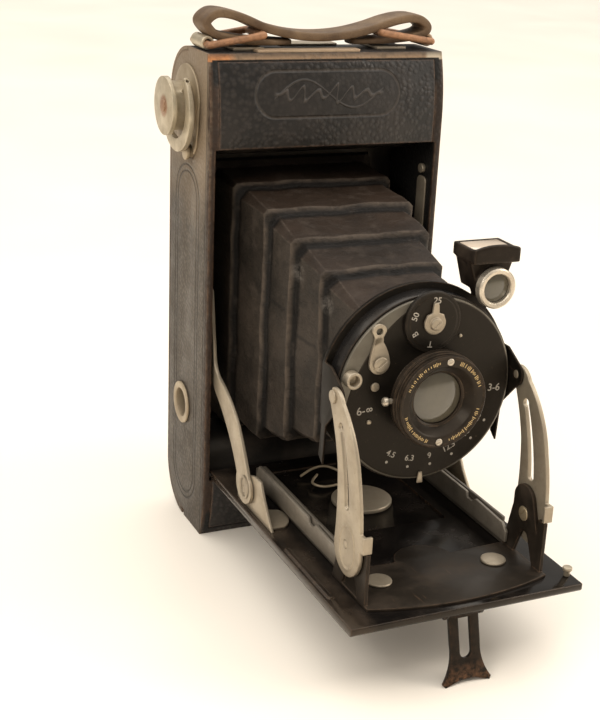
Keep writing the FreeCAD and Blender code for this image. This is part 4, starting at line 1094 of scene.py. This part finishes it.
def dress_finder(looks):
    """Finder with its hood worn round, the bright ring of its eye and its two lenses."""
    body = softened("finder_body", looks["finder"], 0.2)
    modify(body, "REMESH", mode="VOXEL", voxel_size=0.22 * MM)
    modify(body, "SMOOTH", factor=0.5, iterations=32)
    shade(body)
    low, high = box_mm("finder_front_lens")
    eye = (low + high) / 2
    front = box_mm("finder_body")[0].y
    ring = lathe("finder_eye_ring",
                 [(4.2, 1.0), (4.15, -0.1), (4.4, -0.5), (5.3, -0.62), (5.8, -0.2), (5.9, 1.8)],
                 (eye.x, front, eye.z), 72)
    place_piece(ring, "finder", looks["bright"])
    lens = lathe("finder_eye_glass", [(0.001, 0.0), (1.5, 0.08), (3.0, 0.32), (4.2, 0.7), (4.2, 1.4)],
                 (eye.x, low.y - 0.6, eye.z), 48)
    place_piece(lens, "finder", looks["finder_glass"], ("finder_front_lens",))
    softened("finder_top_lens", looks["finder_top_glass"], 0.3, 3)


def add_floor():
    radius, sides = 4000, 64
    points = [(0, 0, 0)] + [(radius * math.cos(a), radius * math.sin(a), 0)
                            for a in (2 * math.pi * k / sides for k in range(sides))]
    floor = new_mesh("floor", points, [(0, k + 1, (k + 1) % sides + 1) for k in range(sides)])
    dress(floor, studio_floor())


def make_looks():
    return {
        "shell": shell_leather(),
        "panel": panel_leather(),
        "bellows": bellows_leather(),
        "strap": strap_leather(),
        "rust": rusty("rusty_wire", (0.38, 0.19, 0.095), (0.20, 0.105, 0.055), 0.5),
        "leg": leg_iron(),
        "nickel": old_nickel("old_nickel", (0.41, 0.345, 0.255), (0.24, 0.19, 0.135), 0.38, 0.6),
        "bright": old_nickel("bright_nickel", (0.60, 0.53, 0.43), (0.4, 0.32, 0.23), 0.27, 0.75),
        "key": rust_centred_nickel(),
        "trim": old_nickel("tan_trim", (0.40, 0.29, 0.19), (0.24, 0.16, 0.10), 0.45, 0.35),
        "link": old_nickel("link_steel", (0.20, 0.172, 0.135), (0.10, 0.08, 0.06), 0.4, 0.25),
        "rail": old_nickel("rail_steel", (0.11, 0.093, 0.072), (0.045, 0.035, 0.026), 0.38, 0.25),
        "brass": old_nickel("tan_brass", (0.40, 0.325, 0.22), (0.22, 0.155, 0.10), 0.42, 0.5),
        "brass_bright": old_nickel("bright_brass", (0.62, 0.50, 0.32), (0.3, 0.2, 0.11), 0.32, 0.75),
        "bronze": old_nickel("grey_bronze", (0.155, 0.137, 0.105), (0.085, 0.07, 0.052), 0.36, 0.5),
        "inner": black_lacquer("inner_black", (0.010, 0.009, 0.0085), (0.07, 0.05, 0.035), 0.32, 0.6, 0.35),
        "lacquer": black_lacquer("board_black", (0.006, 0.005, 0.004), roughness=0.4, dust=0.1, shine=0.14),
        "lacquer_rim": black_lacquer("rim_black", roughness=0.16, dust=0.12, wear=0.5),
        "face": black_lacquer("face_black", (0.008, 0.0068, 0.0055), (0.12, 0.08, 0.05), 0.32, 0.4, 0.1, 0.2),
        "bed": bed_finish(),
        "base": black_lacquer("base_black", (0.015, 0.0115, 0.0085), (0.13, 0.078, 0.048),
                              0.36, 0.9, 0.4, 0.22),
        "ring": black_lacquer("ring_black", (0.012, 0.0092, 0.007), (0.13, 0.082, 0.048),
                              0.3, 0.7, 0.25, 0.22),
        "finder": black_lacquer("finder_lacquer", (0.010, 0.0072, 0.0055), (0.13, 0.08, 0.048),
                                0.34, 0.9, 0.5, 0.18),
        "dark": rusty("dark_iron", (0.05, 0.04, 0.033), (0.02, 0.016, 0.013), 0.45, 0.6),
        "glass": lens_glass("clear_glass", (0.8, 0.85, 0.8)),
        "front_glass": lens_glass("front_glass", (0.112, 0.096, 0.066), 0.08, 0.12),
        "finder_glass": lens_glass("finder_glass", (0.10, 0.088, 0.06), 0.08, 0.12),
        "finder_top_glass": lens_glass("finder_top_glass", (0.72, 0.58, 0.44), 0.12, 0.1),
        "ruby": lens_glass("ruby_glass", (0.45, 0.02, 0.015), 0.08),
        "white": paint("white_paint", (0.42, 0.375, 0.31)),
        "gold": paint("gold_paint", (0.55, 0.38, 0.16), 0.35),
    }


looks = make_looks()
dress_case(looks)
make_strap(looks)
make_bellows(looks)
dress_bed(looks)
dress_standard(looks)
dress_lens(looks)
dress_finder(looks)
add_floor()
add_light()
add_camera()
